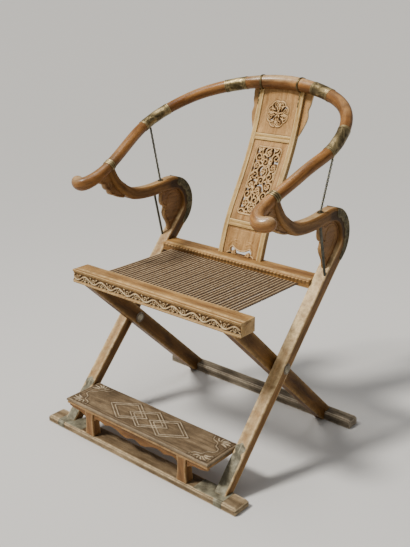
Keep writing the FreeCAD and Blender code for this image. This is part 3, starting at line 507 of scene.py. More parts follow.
def effect(name, inputs, outputs):
    """A node group with named sockets, and its input and output nodes."""
    tree = bpy.data.node_groups.new(name, "ShaderNodeTree")
    for label, kind, value in inputs:
        socket = tree.interface.new_socket(label, in_out="INPUT", socket_type="NodeSocket" + kind)
        if value is not None:
            socket.default_value = value
    for label, kind in outputs:
        tree.interface.new_socket(label, in_out="OUTPUT", socket_type="NodeSocket" + kind)
    return tree, add_node(tree, "NodeGroupInput"), add_node(tree, "NodeGroupOutput")


def stretched(tree, vector, stretch=(1.0, 1.0, 1.0), **noise):
    """Noise on a vector that is first multiplied by a stretch."""
    scaled = add_node(tree, "ShaderNodeVectorMath", {1: stretch}, operation="MULTIPLY")
    tree.links.new(vector, scaled.inputs[0])
    texture = add_node(tree, "ShaderNodeTexNoise", noise)
    tree.links.new(scaled.outputs[0], texture.inputs["Vector"])
    return texture.outputs["Fac"]


def ranged(tree, value, low, high, to_low=0.0, to_high=1.0):
    """A value mapped from one range to another and held inside it."""
    ends = {"From Min": low, "From Max": high, "To Min": to_low, "To Max": to_high}
    node = add_node(tree, "ShaderNodeMapRange", ends)
    tree.links.new(value, node.inputs["Value"])
    return node.outputs["Result"]


def fill(tree, sockets, values):
    """Each socket linked to its value where that is another node's output, and set to it otherwise."""
    for socket, value in zip(sockets, values):
        if hasattr(value, "is_output"):
            tree.links.new(value, socket)
        else:
            socket.default_value = value


def arithmetic(tree, operation, first, second):
    """One operation on two values, either of which may be a plain number."""
    node = add_node(tree, "ShaderNodeMath", operation=operation)
    fill(tree, node.inputs, (first, second))
    return node.outputs[0]


def times(tree, first, second):
    """The product of two values."""
    return arithmetic(tree, "MULTIPLY", first, second)


def plus(tree, first, second):
    """The sum of two values."""
    return arithmetic(tree, "ADD", first, second)


def blended(tree, share, first, second, mode="MIX"):
    """Two colours mixed by a share."""
    node = add_node(tree, "ShaderNodeMix", data_type="RGBA", blend_type=mode)
    fill(tree, (node.inputs[0], node.inputs[6], node.inputs[7]), (share, first, second))
    return node.outputs[2]


def colour(red, green, blue):
    """A colour with nothing see-through."""
    return (red, green, blue, 1.0)


def attribute(tree, name):
    """The node that reads one of the attributes that each piece carries."""
    return add_node(tree, "ShaderNodeAttribute", attribute_name=name)


def make_figure():
    """Wood figure: broad bands drawn out along the grain, with fine dark streaks over them."""
    tree, given, result = effect(
        "wood figure",
        [
            ("Place", "Vector", None), ("Dark", "Color", None),
            ("Light", "Color", None), ("Streak", "Float", 0.4),
        ],
        [("Color", "Color"), ("Height", "Float")],
    )
    place, dark = given.outputs["Place"], given.outputs["Dark"]
    broad = stretched(tree, place, (1.0, 7.0, 7.0), Scale=9.0, Detail=5.0, Roughness=0.55, Distortion=0.6)
    fine = stretched(tree, place, (1.0, 18.0, 18.0), Scale=52.0, Detail=4.0, Roughness=0.65)
    pores = stretched(tree, place, (1.0, 30.0, 30.0), Scale=120.0, Detail=2.0, Roughness=0.5)
    base = blended(tree, ranged(tree, broad, 0.32, 0.70), dark, given.outputs["Light"])
    streak = times(tree, ranged(tree, fine, 0.62, 0.36), given.outputs["Streak"])
    darker = blended(tree, 1.0, dark, colour(0.45, 0.40, 0.36), "MULTIPLY")
    streaked = blended(tree, streak, base, darker)
    pore = ranged(tree, pores, 0.42, 0.30)
    pored = blended(tree, times(tree, pore, 0.55), streaked, darker)
    height = plus(tree, times(tree, fine, 0.6), times(tree, pore, -0.5))
    tree.links.new(pored, result.inputs["Color"])
    tree.links.new(height, result.inputs["Height"])
    return tree


def make_wear_and_light():
    """Wear and painted light: a paler colour where a piece is rubbed and where a highlight is painted,
    broken up by noise, and grime in patches.

    Where the wear-and-light value is below zero the piece goes dark towards the grime colour: this is
    painted shade on faces turned from the light, in grooves and in sunk grounds, and in places dirt.
    """
    tree, given, result = effect(
        "wear grime and painted shade",
        [
            ("Color", "Color", None), ("Rubbed", "Color", None), ("Grime And Shade", "Color", None),
            ("Wear And Light", "Float", 0.0), ("Wear Amount", "Float", 0.6), ("Grime Amount", "Float", 0.3),
        ],
        [("Color", "Color"), ("Gloss", "Float")],
    )
    wear_and_light = given.outputs["Wear And Light"]
    spot = add_node(tree, "ShaderNodeTexCoord").outputs["Object"]
    rough = stretched(tree, spot, Scale=55.0, Detail=6.0, Roughness=0.7)
    patches = stretched(tree, spot, Scale=7.0, Detail=7.0, Roughness=0.68)
    # Above zero the value pales the colour: wear, and on some pieces a painted highlight.
    rub = times(tree, ranged(tree, wear_and_light, 0.0, 1.0), given.outputs["Wear Amount"])
    rub = times(tree, rub, plus(tree, times(tree, ranged(tree, rough, 0.36, 0.66), 0.75), 0.3))
    grime_and_shade = times(tree, ranged(tree, patches, 0.44, 0.68), given.outputs["Grime Amount"])
    # Below zero it darkens the colour: painted shade on faces turned from the light, in grooves and sunk
    # grounds, and in places dirt.
    grime_and_shade = arithmetic(tree, "MAXIMUM", grime_and_shade, ranged(tree, wear_and_light, 0.0, -1.0, 0.0, 0.92))
    grimed_and_shaded = blended(tree, grime_and_shade, given.outputs["Color"], given.outputs["Grime And Shade"])
    tree.links.new(blended(tree, rub, grimed_and_shaded, given.outputs["Rubbed"]), result.inputs["Color"])
    tree.links.new(plus(tree, grime_and_shade, times(tree, rough, 0.5)), result.inputs["Gloss"])
    return tree


def make_tarnish():
    """Tarnish on metal: dull and bright patches, darker pits, and small dents."""
    tree, given, result = effect(
        "tarnish",
        [
            ("Dull", "Color", None), ("Bright", "Color", None),
            ("Pits", "Color", None), ("Bright Share", "Float", 0.4),
        ],
        [("Color", "Color"), ("Gloss", "Float"), ("Height", "Float")],
    )
    spot = add_node(tree, "ShaderNodeTexCoord").outputs["Object"]
    patches = stretched(tree, spot, Scale=42.0, Detail=6.0, Roughness=0.65)
    specks = stretched(tree, spot, Scale=260.0, Detail=4.0, Roughness=0.7)
    share = times(tree, ranged(tree, patches, 0.42, 0.66), given.outputs["Bright Share"])
    base = blended(tree, share, given.outputs["Dull"], given.outputs["Bright"])
    pitted = blended(tree, ranged(tree, specks, 0.58, 0.72), base, given.outputs["Pits"])
    tree.links.new(pitted, result.inputs["Color"])
    tree.links.new(patches, result.inputs["Gloss"])
    tree.links.new(plus(tree, patches, times(tree, specks, 0.5)), result.inputs["Height"])
    return tree


figure_effect = make_figure()
wear_and_light_effect = make_wear_and_light()
tarnish_effect = make_tarnish()


def new_finish(name, slot):
    """An empty material with its Principled shader."""
    finish = bpy.data.materials.new(name)
    finish.use_nodes = True
    finish["slot"] = slot
    tree = finish.node_tree
    return finish, tree, tree.nodes["Principled BSDF"]


def bumped(tree, shader, height, distance, strength=1.0):
    """A height that turns the shader's normal."""
    bump = add_node(tree, "ShaderNodeBump", {"Distance": distance, "Strength": strength})
    tree.links.new(height, bump.inputs["Height"])
    tree.links.new(bump.outputs["Normal"], shader.inputs["Normal"])


def wood(
    name, slot, dark, light, rubbed, grime_and_shade, wear=0.6, dirt=0.3,
    streak=0.4, rough=(0.34, 0.62), coat=0.0, shine=0.2,
    bump=0.0006,
):
    """Timber with its figure along the grain, rubbed edges, grime, and painted light and shade."""
    finish, tree, shader = new_finish(name, slot)
    wear_and_light = attribute(tree, "wear_and_light").outputs["Fac"]
    figure = add_node(
        tree, "ShaderNodeGroup", {"Dark": colour(*dark), "Light": colour(*light), "Streak": streak},
        node_tree=figure_effect,
    )
    used = add_node(
        tree, "ShaderNodeGroup",
        {"Rubbed": colour(*rubbed), "Grime And Shade": colour(*grime_and_shade), "Wear Amount": wear, "Grime Amount": dirt},
        node_tree=wear_and_light_effect,
    )
    tree.links.new(attribute(tree, "grain").outputs["Vector"], figure.inputs["Place"])
    tree.links.new(figure.outputs["Color"], used.inputs["Color"])
    tree.links.new(wear_and_light, used.inputs["Wear And Light"])
    tree.links.new(used.outputs["Color"], shader.inputs["Base Color"])
    tree.links.new(ranged(tree, used.outputs["Gloss"], 0.15, 0.7, *rough), shader.inputs["Roughness"])
    shader.inputs["Specular IOR Level"].default_value = shine
    if coat:
        tree.links.new(ranged(tree, wear_and_light, 0.0, 0.42, coat * 0.08, coat), shader.inputs["Coat Weight"])
    shader.inputs["Coat Roughness"].default_value = 0.22
    bumped(tree, shader, figure.outputs["Height"], bump)
    return finish


def metal(name, slot, dull, bright, pits, share=0.4, rough=(0.35, 0.6), metallic=0.85, bump=0.0005):
    """Old metal with tarnish in patches, bright where it is worn and where a highlight is painted."""
    finish, tree, shader = new_finish(name, slot)
    bright = colour(*bright)
    old = add_node(
        tree, "ShaderNodeGroup",
        {"Dull": colour(*dull), "Bright": bright, "Pits": colour(*pits), "Bright Share": share},
        node_tree=tarnish_effect,
    )
    gloss = old.outputs["Gloss"]
    # The wear-and-light value brightens the metal: wear, and on the brass sleeves a painted highlight too.
    rubbed = times(tree, attribute(tree, "wear_and_light").outputs["Fac"], ranged(tree, gloss, 0.3, 0.6, 0.3, 0.9))
    tree.links.new(blended(tree, rubbed, old.outputs["Color"], bright), shader.inputs["Base Color"])
    tree.links.new(ranged(tree, gloss, 0.35, 0.65, rough[1], rough[0]), shader.inputs["Roughness"])
    shader.inputs["Metallic"].default_value = metallic
    bumped(tree, shader, old.outputs["Height"], bump, 0.6)
    return finish


crest_wood = wood(
    "polished crest wood", "crest_wood", (0.16, 0.060, 0.014), (0.45, 0.215, 0.065), (0.84, 0.62, 0.33),
    (0.055, 0.024, 0.007), wear=0.85, dirt=0.75, rough=(0.26, 0.42), coat=0.8, shine=0.16, bump=0.00025,
)
post_wood = wood(
    "post wood", "post_wood", (0.17, 0.075, 0.018), (0.46, 0.24, 0.078), (0.90, 0.69, 0.38),
    (0.030, 0.014, 0.004), wear=0.8, dirt=0.45, rough=(0.30, 0.5), shine=0.14,
)
rail_wood = wood(
    "seat rail wood", "rail_wood", (0.21, 0.095, 0.026), (0.52, 0.29, 0.095), (0.76, 0.53, 0.24),
    (0.06, 0.03, 0.008), wear=0.7, dirt=0.45, rough=(0.32, 0.56),
)
splat_wood = wood(
    "pale splat stile wood", "splat_wood", (0.42, 0.24, 0.07), (0.76, 0.52, 0.20), (0.87, 0.68, 0.36),
    (0.13, 0.06, 0.017), dirt=0.4, streak=0.35, rough=(0.38, 0.62),
)
panel_wood = wood(
    "splat panel wood", "splat_wood", (0.36, 0.18, 0.058), (0.68, 0.41, 0.165), (0.82, 0.60, 0.31),
    (0.04, 0.019, 0.007), wear=0.8, dirt=0.4, streak=0.35, rough=(0.4, 0.64),
)
leg_wood = wood(
    "dark leg wood", "leg_wood", (0.07, 0.029, 0.006), (0.25, 0.112, 0.024), (0.48, 0.30, 0.12),
    (0.033, 0.017, 0.006), wear=0.7, dirt=0.4, rough=(0.36, 0.6), shine=0.12,
)
runner_wood = wood(
    "weathered runner wood", "runner_wood", (0.15, 0.095, 0.045), (0.47, 0.34, 0.19), (0.72, 0.56, 0.34),
    (0.055, 0.036, 0.020), wear=0.8, dirt=0.6, streak=0.6, rough=(0.55, 0.8), bump=0.0012,
)
grey_wood = wood(
    "grey weathered wood", "runner_wood", (0.10, 0.078, 0.050), (0.34, 0.28, 0.195), (0.58, 0.49, 0.36),
    (0.04, 0.030, 0.020), wear=0.8, dirt=0.7, streak=0.7, rough=(0.6, 0.85), bump=0.0014,
)
footrest_wood = wood(
    "weathered footrest wood", "footrest_wood", (0.13, 0.085, 0.045), (0.36, 0.26, 0.15), (0.72, 0.60, 0.42),
    (0.045, 0.028, 0.014), wear=0.85, dirt=0.6, streak=0.5, rough=(0.42, 0.68), bump=0.0009,
)
carved_wood = wood(
    "carved wood", "carved_wood", (0.15, 0.064, 0.017), (0.36, 0.175, 0.055), (0.60, 0.39, 0.18),
    (0.035, 0.016, 0.005), wear=0.7, dirt=0.4, rough=(0.32, 0.56),
)
vine_wood = wood(
    "pale worn vine", "carved_wood", (0.20, 0.09, 0.025), (0.46, 0.25, 0.08), (0.86, 0.70, 0.43),
    (0.030, 0.016, 0.007), wear=1.0, dirt=0.4, rough=(0.4, 0.6),
)
brass = metal(
    "tarnished brass", "brass", (0.065, 0.047, 0.019), (0.56, 0.43, 0.21), (0.03, 0.02, 0.008), share=0.26,
)
# The pivot pins are pale all over: rubbed iron, and a painted highlight as well.
iron = metal(
    "rubbed pin iron with painted highlight", "iron", (0.22, 0.19, 0.13), (0.74, 0.70, 0.56), (0.06, 0.05, 0.035), share=0.6,
    rough=(0.4, 0.6), metallic=0.3,
)
rod_iron = metal(
    "greenish rod iron", "iron", (0.055, 0.056, 0.042), (0.56, 0.56, 0.45), (0.03, 0.03, 0.022), share=0.12,
    rough=(0.45, 0.7), metallic=0.4,
)
boss_iron = metal(
    "worn boss iron", "iron", (0.09, 0.058, 0.028), (0.74, 0.68, 0.55), (0.02, 0.014, 0.007), share=0.25,
    rough=(0.4, 0.6), metallic=0.3,
)
shoe_metal = metal(
    "weathered shoe metal", "sheet_metal", (0.105, 0.092, 0.058), (0.44, 0.41, 0.28), (0.05, 0.043, 0.028),
    share=0.42, rough=(0.55, 0.8), metallic=0.3,
)
sheet_metal = metal(
    "dull sheet metal", "sheet_metal", (0.05, 0.04, 0.018), (0.28, 0.22, 0.10), (0.03, 0.022, 0.01), share=0.3,
    rough=(0.40, 0.66), metallic=0.7,
)


def make_cord_finish():
    """Twisted fibre: the yarn's colour changes along it, and painted shade darkens the grooves between
    strands, the cords' sides and underside, and every second cord.
    """
    finish, tree, shader = new_finish("twisted cord", "cord")
    place = attribute(tree, "grain").outputs["Vector"]
    groove = attribute(tree, "wear_and_light").outputs["Fac"]
    yarn = stretched(tree, place, (1.0, 6.0, 6.0), Scale=80.0, Detail=5.0, Roughness=0.7)
    fibre = stretched(tree, place, Scale=900.0, Detail=3.0, Roughness=0.7)
    base = blended(tree, ranged(tree, yarn, 0.35, 0.68), colour(0.34, 0.21, 0.10), colour(0.72, 0.54, 0.32))
    # Painted shade, as much as the groove value asks for.
    shaded = blended(tree, ranged(tree, groove, 0.0, 1.0, 0.0, 0.92), base, colour(0.035, 0.015, 0.007))
    tree.links.new(shaded, shader.inputs["Base Color"])
    shader.inputs["Roughness"].default_value = 0.8
    bumped(tree, shader, fibre, 0.0006)
    return finish


cord_finish = make_cord_finish()


# Sizes of the solids, in millimetres

FRONT_EDGE = -356.732
RUNNER_HEIGHT = 21.0
HALF_WIDTH = 322.5
POST_WIDTH = 37.0
POST_INNER = HALF_WIDTH - POST_WIDTH
POST_MIDDLE = HALF_WIDTH - POST_WIDTH / 2
POST_LEAN = math.radians(41.7)
BEND_INNER = 49.0
BEND_OUTER = 89.0
BEND_MIDDLE = (BEND_INNER + BEND_OUTER) / 2
ARM_TURN = math.radians(96.0)
BEND_HEIGHT = 625.0
ARM_REACH = 255.0
NECK_HEIGHT = 118.0
PIVOT_HEIGHT = 296.0
UP_POST = np.array([math.sin(POST_LEAN), math.cos(POST_LEAN)])
BEHIND_POST = np.array([math.cos(POST_LEAN), -math.sin(POST_LEAN)])
POST_TOE = np.array([FRONT_EDGE + 26.0, RUNNER_HEIGHT])
POST_STRAIGHT = (BEND_HEIGHT - RUNNER_HEIGHT - BEND_INNER * math.sin(POST_LEAN)) / math.cos(POST_LEAN)
BEND_CENTRE = POST_TOE + UP_POST * POST_STRAIGHT - BEHIND_POST * BEND_INNER
HEEL = POST_TOE + np.array([30.0 / math.cos(POST_LEAN), 0])
TO_CENTRE = BEND_CENTRE - HEEL
BACK_TURN = math.atan2(TO_CENTRE[1], TO_CENTRE[0]) + math.asin(BEND_OUTER / np.hypot(*TO_CENTRE)) - math.pi / 2
PIVOT_Y = -62.577
ACROSS = np.array([1.0, 0.0, 0.0])
UPWARD = np.array([0.0, 0.0, 1.0])
BACKWARD = np.array([0.0, 1.0, 0.0])


def on_bend(radius, turn):
    """Side-view points on an arc about the centre of the bend, for turns in radians."""
    turn = np.atleast_1d(turn)
    return BEND_CENTRE + radius * np.stack([np.cos(turn), np.sin(turn)], 1)


def post_front_y(height):
    """Where a post's front face is at a height."""
    return POST_TOE[0] + (height - RUNNER_HEIGHT) * math.tan(POST_LEAN)


def in_side_view(points, x):
    """Side-view points placed at one distance across the chair."""
    return np.stack([np.full(len(points), float(x)), points[:, 0], points[:, 1]], 1)


# Posts and arms

ARM_REACH_SHARES = np.array([0.20, 0.38, 0.556, 0.697, 0.823, 0.948, 1.07])
ARM_RISE_SHARES = np.array([-0.04, -0.073, -0.064, -0.014, 0.13, 0.36, 0.84])
# Points of the post's straight part and of its bend, and half its thickness along the arm and the neck
STRAIGHT_COUNT = 12
BEND_COUNT = 12
HALF_BELOW = np.linspace(15.0, 19.8, STRAIGHT_COUNT)
HALF_ON_BEND = 20.0
HALF_ALONG_ARM = [20.0, 18.0, 18.0, 18.0, 18.0, 16.2, 14.2, 13.5]


def arm_middle():
    """Side-view points of the arm's middle line, from the end of the bend to the top of the neck."""
    start = on_bend(BEND_MIDDLE, ARM_TURN)[0]
    reach = BEND_CENTRE[0] - ARM_REACH_SHARES * ARM_REACH
    rise = start[1] + ARM_RISE_SHARES * NECK_HEIGHT
    return np.vstack([start, np.stack([reach, rise], 1)])


def build_post(side, sign):
    """The post from the runner over the bend and along the arm to its neck.

    The thickness grows evenly up the post behind its straight front line, stays on the bend, is less
    along the arm and less again in the neck, which leans forward. The bend and the arm are dark from
    handling, and their edges less worn. The bend is darker still with painted shade, most of all on its
    +X face, and the arm's top is paler with a painted highlight. Below the bend the side faces carry
    painted shade and the front a painted highlight, each post by its own amounts; higher up the +X face
    is shaded more, and the right post's front lit more.
    """
    share = np.linspace(0, 1, STRAIGHT_COUNT)[:, None]
    below = (
        POST_TOE + share * (on_bend(BEND_INNER, -POST_LEAN)[0] - POST_TOE)
        + HALF_BELOW[:, None] * BEHIND_POST
    )
    bend = on_bend(BEND_MIDDLE, np.linspace(-0.5, math.radians(88.0), BEND_COUNT))
    arm = arm_middle()
    middle = np.vstack([below, bend, arm[:-1], arm[-1] + unit(arm[-2] - arm[-1]) * 4.0])
    half = np.r_[HALF_BELOW, np.full(BEND_COUNT, HALF_ON_BEND), HALF_ALONG_ARM]
    corner = np.r_[np.full(STRAIGHT_COUNT, 3.0), np.linspace(4, 8, BEND_COUNT), np.full(7, 9.0), 8.0]
    marks = run_along(middle)
    line = curve_through(middle, 210)
    run = run_along(line)
    run = run * marks[-1] / run[-1]
    tangent = unit(np.gradient(line, axis=0))
    above = in_side_view(np.stack([tangent[:, 1], -tangent[:, 0]], 1), 0)
    half_wide = POST_WIDTH / 2 - 2.8 * smooth_share((run - run[-1] + 60) / 60)
    outline, wear_and_light = bar_section(half_wide, np.interp(run, marks, half), np.interp(run, marks, corner))

    def rising(place, length):
        return smooth_share((run - place) / length)[:, None]

    def falling(place, length):
        return smooth_share((place - run) / length)[:, None]

    handled = rising(marks[STRAIGHT_COUNT - 1] - 30, 90)
    bent = rising(marks[STRAIGHT_COUNT], 60) * falling(marks[STRAIGHT_COUNT + BEND_COUNT] + 30, 60)
    arm_top_highlight = rising(marks[19], 50) * falling(marks[28], 40)
    above_pivot = rising(400, 60)
    # Painted light below the bend: painted shade on both side faces and a painted highlight on the front, each
    # post by its own amounts.
    right_face_shade, front_face_highlight = (-0.26, 0.46) if sign > 0 else (-0.5, 0.34)
    right_face_shade_change, front_face_highlight_change = (-0.2, 0.4) if sign > 0 else (-0.3, 0.0)
    face_light_and_shade = np.zeros((len(run), BAR_POINTS))
    face_light_and_shade[:, LEFT_FLAT] = -0.72
    face_light_and_shade[:, RIGHT_FLAT] = right_face_shade + right_face_shade_change * above_pivot
    face_light_and_shade[:, FRONT_FLAT] = front_face_highlight + front_face_highlight_change * above_pivot
    # Painted shade on the bend, most on its +X face, and a painted highlight along the arm's top.
    bend_shade_and_arm_highlight = np.repeat(-0.24 * bent, BAR_POINTS, 1)
    bend_shade_and_arm_highlight[:, 34:40] -= 0.9 * bent
    bend_shade_and_arm_highlight[:, 4:11] += 0.85 * arm_top_highlight
    swept(
        side + "_post_and_arm", in_side_view(line, sign * POST_MIDDLE), ACROSS, above, outline, post_wood,
        wear_and_light=wear_and_light * (1 - 0.8 * handled) - 0.5 * handled + (1 - handled) * face_light_and_shade + bend_shade_and_arm_highlight, shift=137.0 * sign,
        replaced=[side + "_post"],
    )


# Crest rail

CREST_HALF_WIDTH = 341.0
CREST_RUN = 547.0
CREST_TOP = 1019.942
CREST_FALL = 267.0
CREST_BACK_Y = 336.232
CREST_SHARES = np.array([
    (0, 0, 0), (0.308, 0.024, 0.022), (0.587, 0.071, 0.09), (0.792, 0.153, 0.18), (0.927, 0.272, 0.30),
    (0.991, 0.399, 0.42), (1, 0.499, 0.517), (0.965, 0.609, 0.618),
    (0.927, 0.718, 0.734), (0.891, 0.828, 0.846),
    (0.880, 0.910, 0.925), (0.900, 0.972, 0.985), (0.955, 1.0, 1.02),
    (1.02, 0.994, 1.015), (1.055, 0.968, 0.975),
])
TOP_JOINT = 164.0
SIDE_JOINT = 465.0
HAND_HOLD = 729.75
JOINT_GAP = 0.15
# Each brass sleeve: its name, middle, length, wall and bead
SLEEVES = (
    ("top", TOP_JOINT, 76.0, 1.2, 3.5), ("side", SIDE_JOINT, 113.0, 1.2, 3.5),
    ("handle", HAND_HOLD, 18.0, 1.8, 4.5),
)


def crest_line():
    """The middle line of the whole crest rail, left to right, with 1200 points."""
    half = [0, CREST_BACK_Y, CREST_TOP] + CREST_SHARES * [CREST_HALF_WIDTH, -CREST_RUN, -CREST_FALL]
    left = half[:0:-1] * [-1, 1, 1]
    return curve_through(np.vstack([left, half]), 1200)


crest = crest_line()
crest_run = run_along(crest)
CREST_HALF_LENGTH = crest_run[-1] / 2
KNOB_RADIUS = 20.5


def crest_radius(reach):
    """The rail's radius at a distance from the back centre.

    It eases between stations, thins to the sides, swells to the knob, and closes by a half circle.
    """
    stations = np.array([0, TOP_JOINT, SIDE_JOINT, HAND_HOLD, CREST_HALF_LENGTH - KNOB_RADIUS])
    radii = np.array([21.5, 19.0, 16.5, 16.5, KNOB_RADIUS])
    place = np.clip(np.searchsorted(stations, reach, side="right") - 1, 0, 3)
    share = (reach - stations[place]) / (stations[place + 1] - stations[place])
    radius = radii[place] + (radii[place + 1] - radii[place]) * smooth_share(share)
    beyond = np.clip((reach - stations[-1]) / KNOB_RADIUS, 0, 1)
    return np.where(reach > stations[-1], np.maximum(KNOB_RADIUS * np.sqrt(1 - beyond**2), 0.5), radius)


def crest_at(reach, sign=1.0):
    """Points, across directions and above directions of the rail at distances along it."""
    marks = CREST_HALF_LENGTH + reach
    centre = read_along(marks, crest_run, crest)
    tangent = unit(read_along(marks, crest_run, np.gradient(crest, axis=0)))
    across = unit(np.stack([tangent[:, 1], -tangent[:, 0], np.zeros(len(marks))], 1))
    return [rows * [sign, 1, 1] for rows in (centre, across, np.cross(tangent, across))]


def crest_length(name, reach, sign=1.0, **rest):
    """A length of the rail through distances from the back centre."""
    outline = circle_section(crest_radius(np.abs(reach)))
    swept(name, *crest_at(reach, sign), outline, crest_wood, wear_and_light=crest_wear_and_light(reach), **rest)


def crest_wear_and_light(reach):
    """How worn the rail is, and how it is painted with light and shade, by the sine of the turn about it.

    It is pale on top, most of all on the knobs and about the back centre: wear, and a painted highlight.
    Underneath it is dark with painted shade, and it is dark for a hand's width about each sleeve, by
    bell curves of the distance from it.
    """
    height = -np.sin(np.arange(CIRCLE_POINTS) * math.tau / CIRCLE_POINTS)
    knob = smooth_share((np.abs(reach) - CREST_HALF_LENGTH + 60) / 30)[:, None]
    away = np.minimum(np.abs(np.abs(reach) - TOP_JOINT) + 30, np.abs(np.abs(reach) - SIDE_JOINT))[:, None]
    centre = bell(reach, 165.0)[:, None]
    # Pale on top, with wear and a painted highlight; dark underneath with painted shade.
    rub = np.clip(height, 0, 1) * (0.26 + 0.3 * knob) + 0.55 * centre * np.clip(height + 0.25, 0, 1)
    rub = rub - 0.4 * np.clip(-height, 0, 1) * (1 - 0.5 * knob) - 0.3 * bell(away, 95.0)
    return rub - 0.14 * (1 - knob)


def build_crest():
    """The rail in five lengths, each with its own run of grain."""
    crest_length(
        "crest_top_length", np.linspace(-TOP_JOINT, TOP_JOINT, 120), shift=11.0, replaced=["crest_top"],
    )
    neck = CREST_HALF_LENGTH - KNOB_RADIUS
    cap = neck + KNOB_RADIUS * np.sin(np.linspace(0.06, 1.0, 14) * math.pi / 2)
    hold = np.r_[np.linspace(SIDE_JOINT + JOINT_GAP, neck, 130), np.minimum(cap, CREST_HALF_LENGTH - 0.6)]
    for side, sign in LEFT_AND_RIGHT:
        crest_length(
            side + "_crest_side_length", np.linspace(TOP_JOINT + JOINT_GAP, SIDE_JOINT - JOINT_GAP, 120), sign,
            shift=211.0 * sign, replaced=[side + "_crest_side"],
        )
        crest_length(side + "_hand_hold", hold, sign, shift=331.0 * sign, replaced=[side + "_crest_handle"])


def build_bands():
    """The brass sleeves: the wall swells in two beads at each end, and in low scrolls between them.

    They carry a painted highlight in patches on top, and the parts of the pattern that stand up are
    rubbed bright.
    """
    turn = np.arange(72) * math.tau / 72
    for side, sign in LEFT_AND_RIGHT:
        for name, middle, length, wall, bead_width in SLEEVES:
            reach = np.linspace(middle - length / 2, middle + length / 2, int(length / 0.9))
            along = reach[:, None]
            from_end = length / 2 - np.abs(along - middle)
            bead = bell(from_end - bead_width / 2, 1.3) * (0.75 + 0.25 * np.cos(turn * 36))
            bead = bead + 0.7 * bell(from_end - bead_width * 2, 1.1)
            wave = np.sin(along / 7.0 + 2.2 * np.sin(turn * 3)) * np.cos(turn * 6 + along / 11.0)
            patchy = np.clip(0.5 + np.sin(along / 9.0 + turn * 2 + sign), 0, 1)
            chased = smooth_share((from_end - bead_width * 2 - 3) / 3) * bell(wave, 0.35) * patchy
            radius = crest_radius(reach)[:, None] + wall - 0.5 + 0.9 * bead + 0.45 * chased
            # A painted highlight: bright patches, kept to the top of each sleeve.
            bright = np.clip(0.35 + 0.75 * np.sin(along / 15.0 + turn + 2 * sign), 0, 1)
            bright = np.clip(-np.sin(turn), 0, 1) * bright
            swept(
                side + "_" + name + "_sleeve", *crest_at(reach, sign), ring_points(radius, turn), brass,
                wear_and_light=np.clip(bead * 0.9 + chased * 0.4 + bright * 0.8, 0, 1),
                replaced=[side + "_crest_" + name + "_band"],
            )


# Splat

SPLAT_HALF = 83.0
STILE_WIDTH = 17.0
SPLAT_THICK = 20.0
SPLAT_FOOT_Y = 125.032
RAIL_TOP = 509.0
SPLAT_HEIGHT = 491.942
SPLAT_LEAN = 204.0
SPLAT_BACK_SHARES = np.array([0, 0.155, 0.50, 0.775, 1])
SPLAT_RISE_SHARES = np.array([0, 0.19, 0.46, 0.70, 1])
SPLAT_BOW = np.stack(
    [SPLAT_FOOT_Y + SPLAT_BACK_SHARES * SPLAT_LEAN, RAIL_TOP + SPLAT_RISE_SHARES * SPLAT_HEIGHT], 1,
)
SPLAT_CURVE = curve_through(SPLAT_BOW, 300)
PANEL_HALF = SPLAT_HALF - STILE_WIDTH
PANEL_THICK = 13.0


def splat_y(height):
    """The splat's front face at a height."""
    return np.interp(height, SPLAT_CURVE[:, 1], SPLAT_CURVE[:, 0])


def on_splat(u, v, rise):
    """A point across, up and out from the splat's front face."""
    return np.stack([u, splat_y(v) - rise, v], 1)


def build_stiles():
    """Stiles that follow the bow, with painted shade on their outer sides.

    The two cross rails have a groove each.
    """
    heights = np.linspace(RAIL_TOP, 1001.0, 90)
    for side, sign in LEFT_AND_RIGHT:
        line = in_side_view(
            np.stack([splat_y(heights) + SPLAT_THICK / 2, heights], 1), sign * (SPLAT_HALF - STILE_WIDTH / 2)
        )
        outline, wear_and_light = bar_section(STILE_WIDTH / 2, SPLAT_THICK / 2, 2.2)
        # Painted shade on the stile's outer face.
        wear_and_light[RIGHT_FLAT if sign > 0 else LEFT_FLAT] = -0.55
        swept(
            side + "_stile", line, ACROSS, BACKWARD, outline, splat_wood, wear_and_light=wear_and_light, shift=53.0 * sign,
            replaced=[side + "_splat_stile"],
        )
    for name, low in (("lower", 593.0), ("upper", 846.0)):
        corners = (-PANEL_HALF, low), (PANEL_HALF, low + 19.0)

        def shape(u, v):
            return within_box(u, v, *corners)

        def front(u, v, depth):
            return -(bell(v - low - 9.5, 2.2) * 1.6) - eased_edge(depth, 2.0)

        board(
            "splat_" + name + "_cross_rail", *corners, 1.0, shape, front, -SPLAT_THICK, on_splat, splat_wood,
            shift=low, replaced=["splat_" + name + "_rail"],
        )


def splat_panel(name, low, high, step, opening, front, rubbing_and_shade, shift):
    """A panel between the stiles, whose field is the lesser of its rectangle's and its opening's.

    It is dark along its joints, by a bell curve of the distance from them.
    """
    corners = (-PANEL_HALF, low), (PANEL_HALF, high)

    def shape(u, v):
        return np.minimum(within_box(u, v, *corners), opening(u, v))

    def rubbed(u, v):
        return rubbing_and_shade(u, v) - 1.4 * bell(within_box(u, v, *corners), 1.6)

    board(
        "splat_" + name + "_board", *corners, step, shape, front,
        -PANEL_THICK, on_splat, panel_wood, shift=shift,
        grain_turn=1, rubbing_and_shade=rubbed, replaced=["splat_" + name + "_panel"],
    )


# A pierced stroke is this much wider than its carving, and the panels' margins lie this far back
PIERCED_RIM = 2.1
PANEL_SETBACK = 4.0


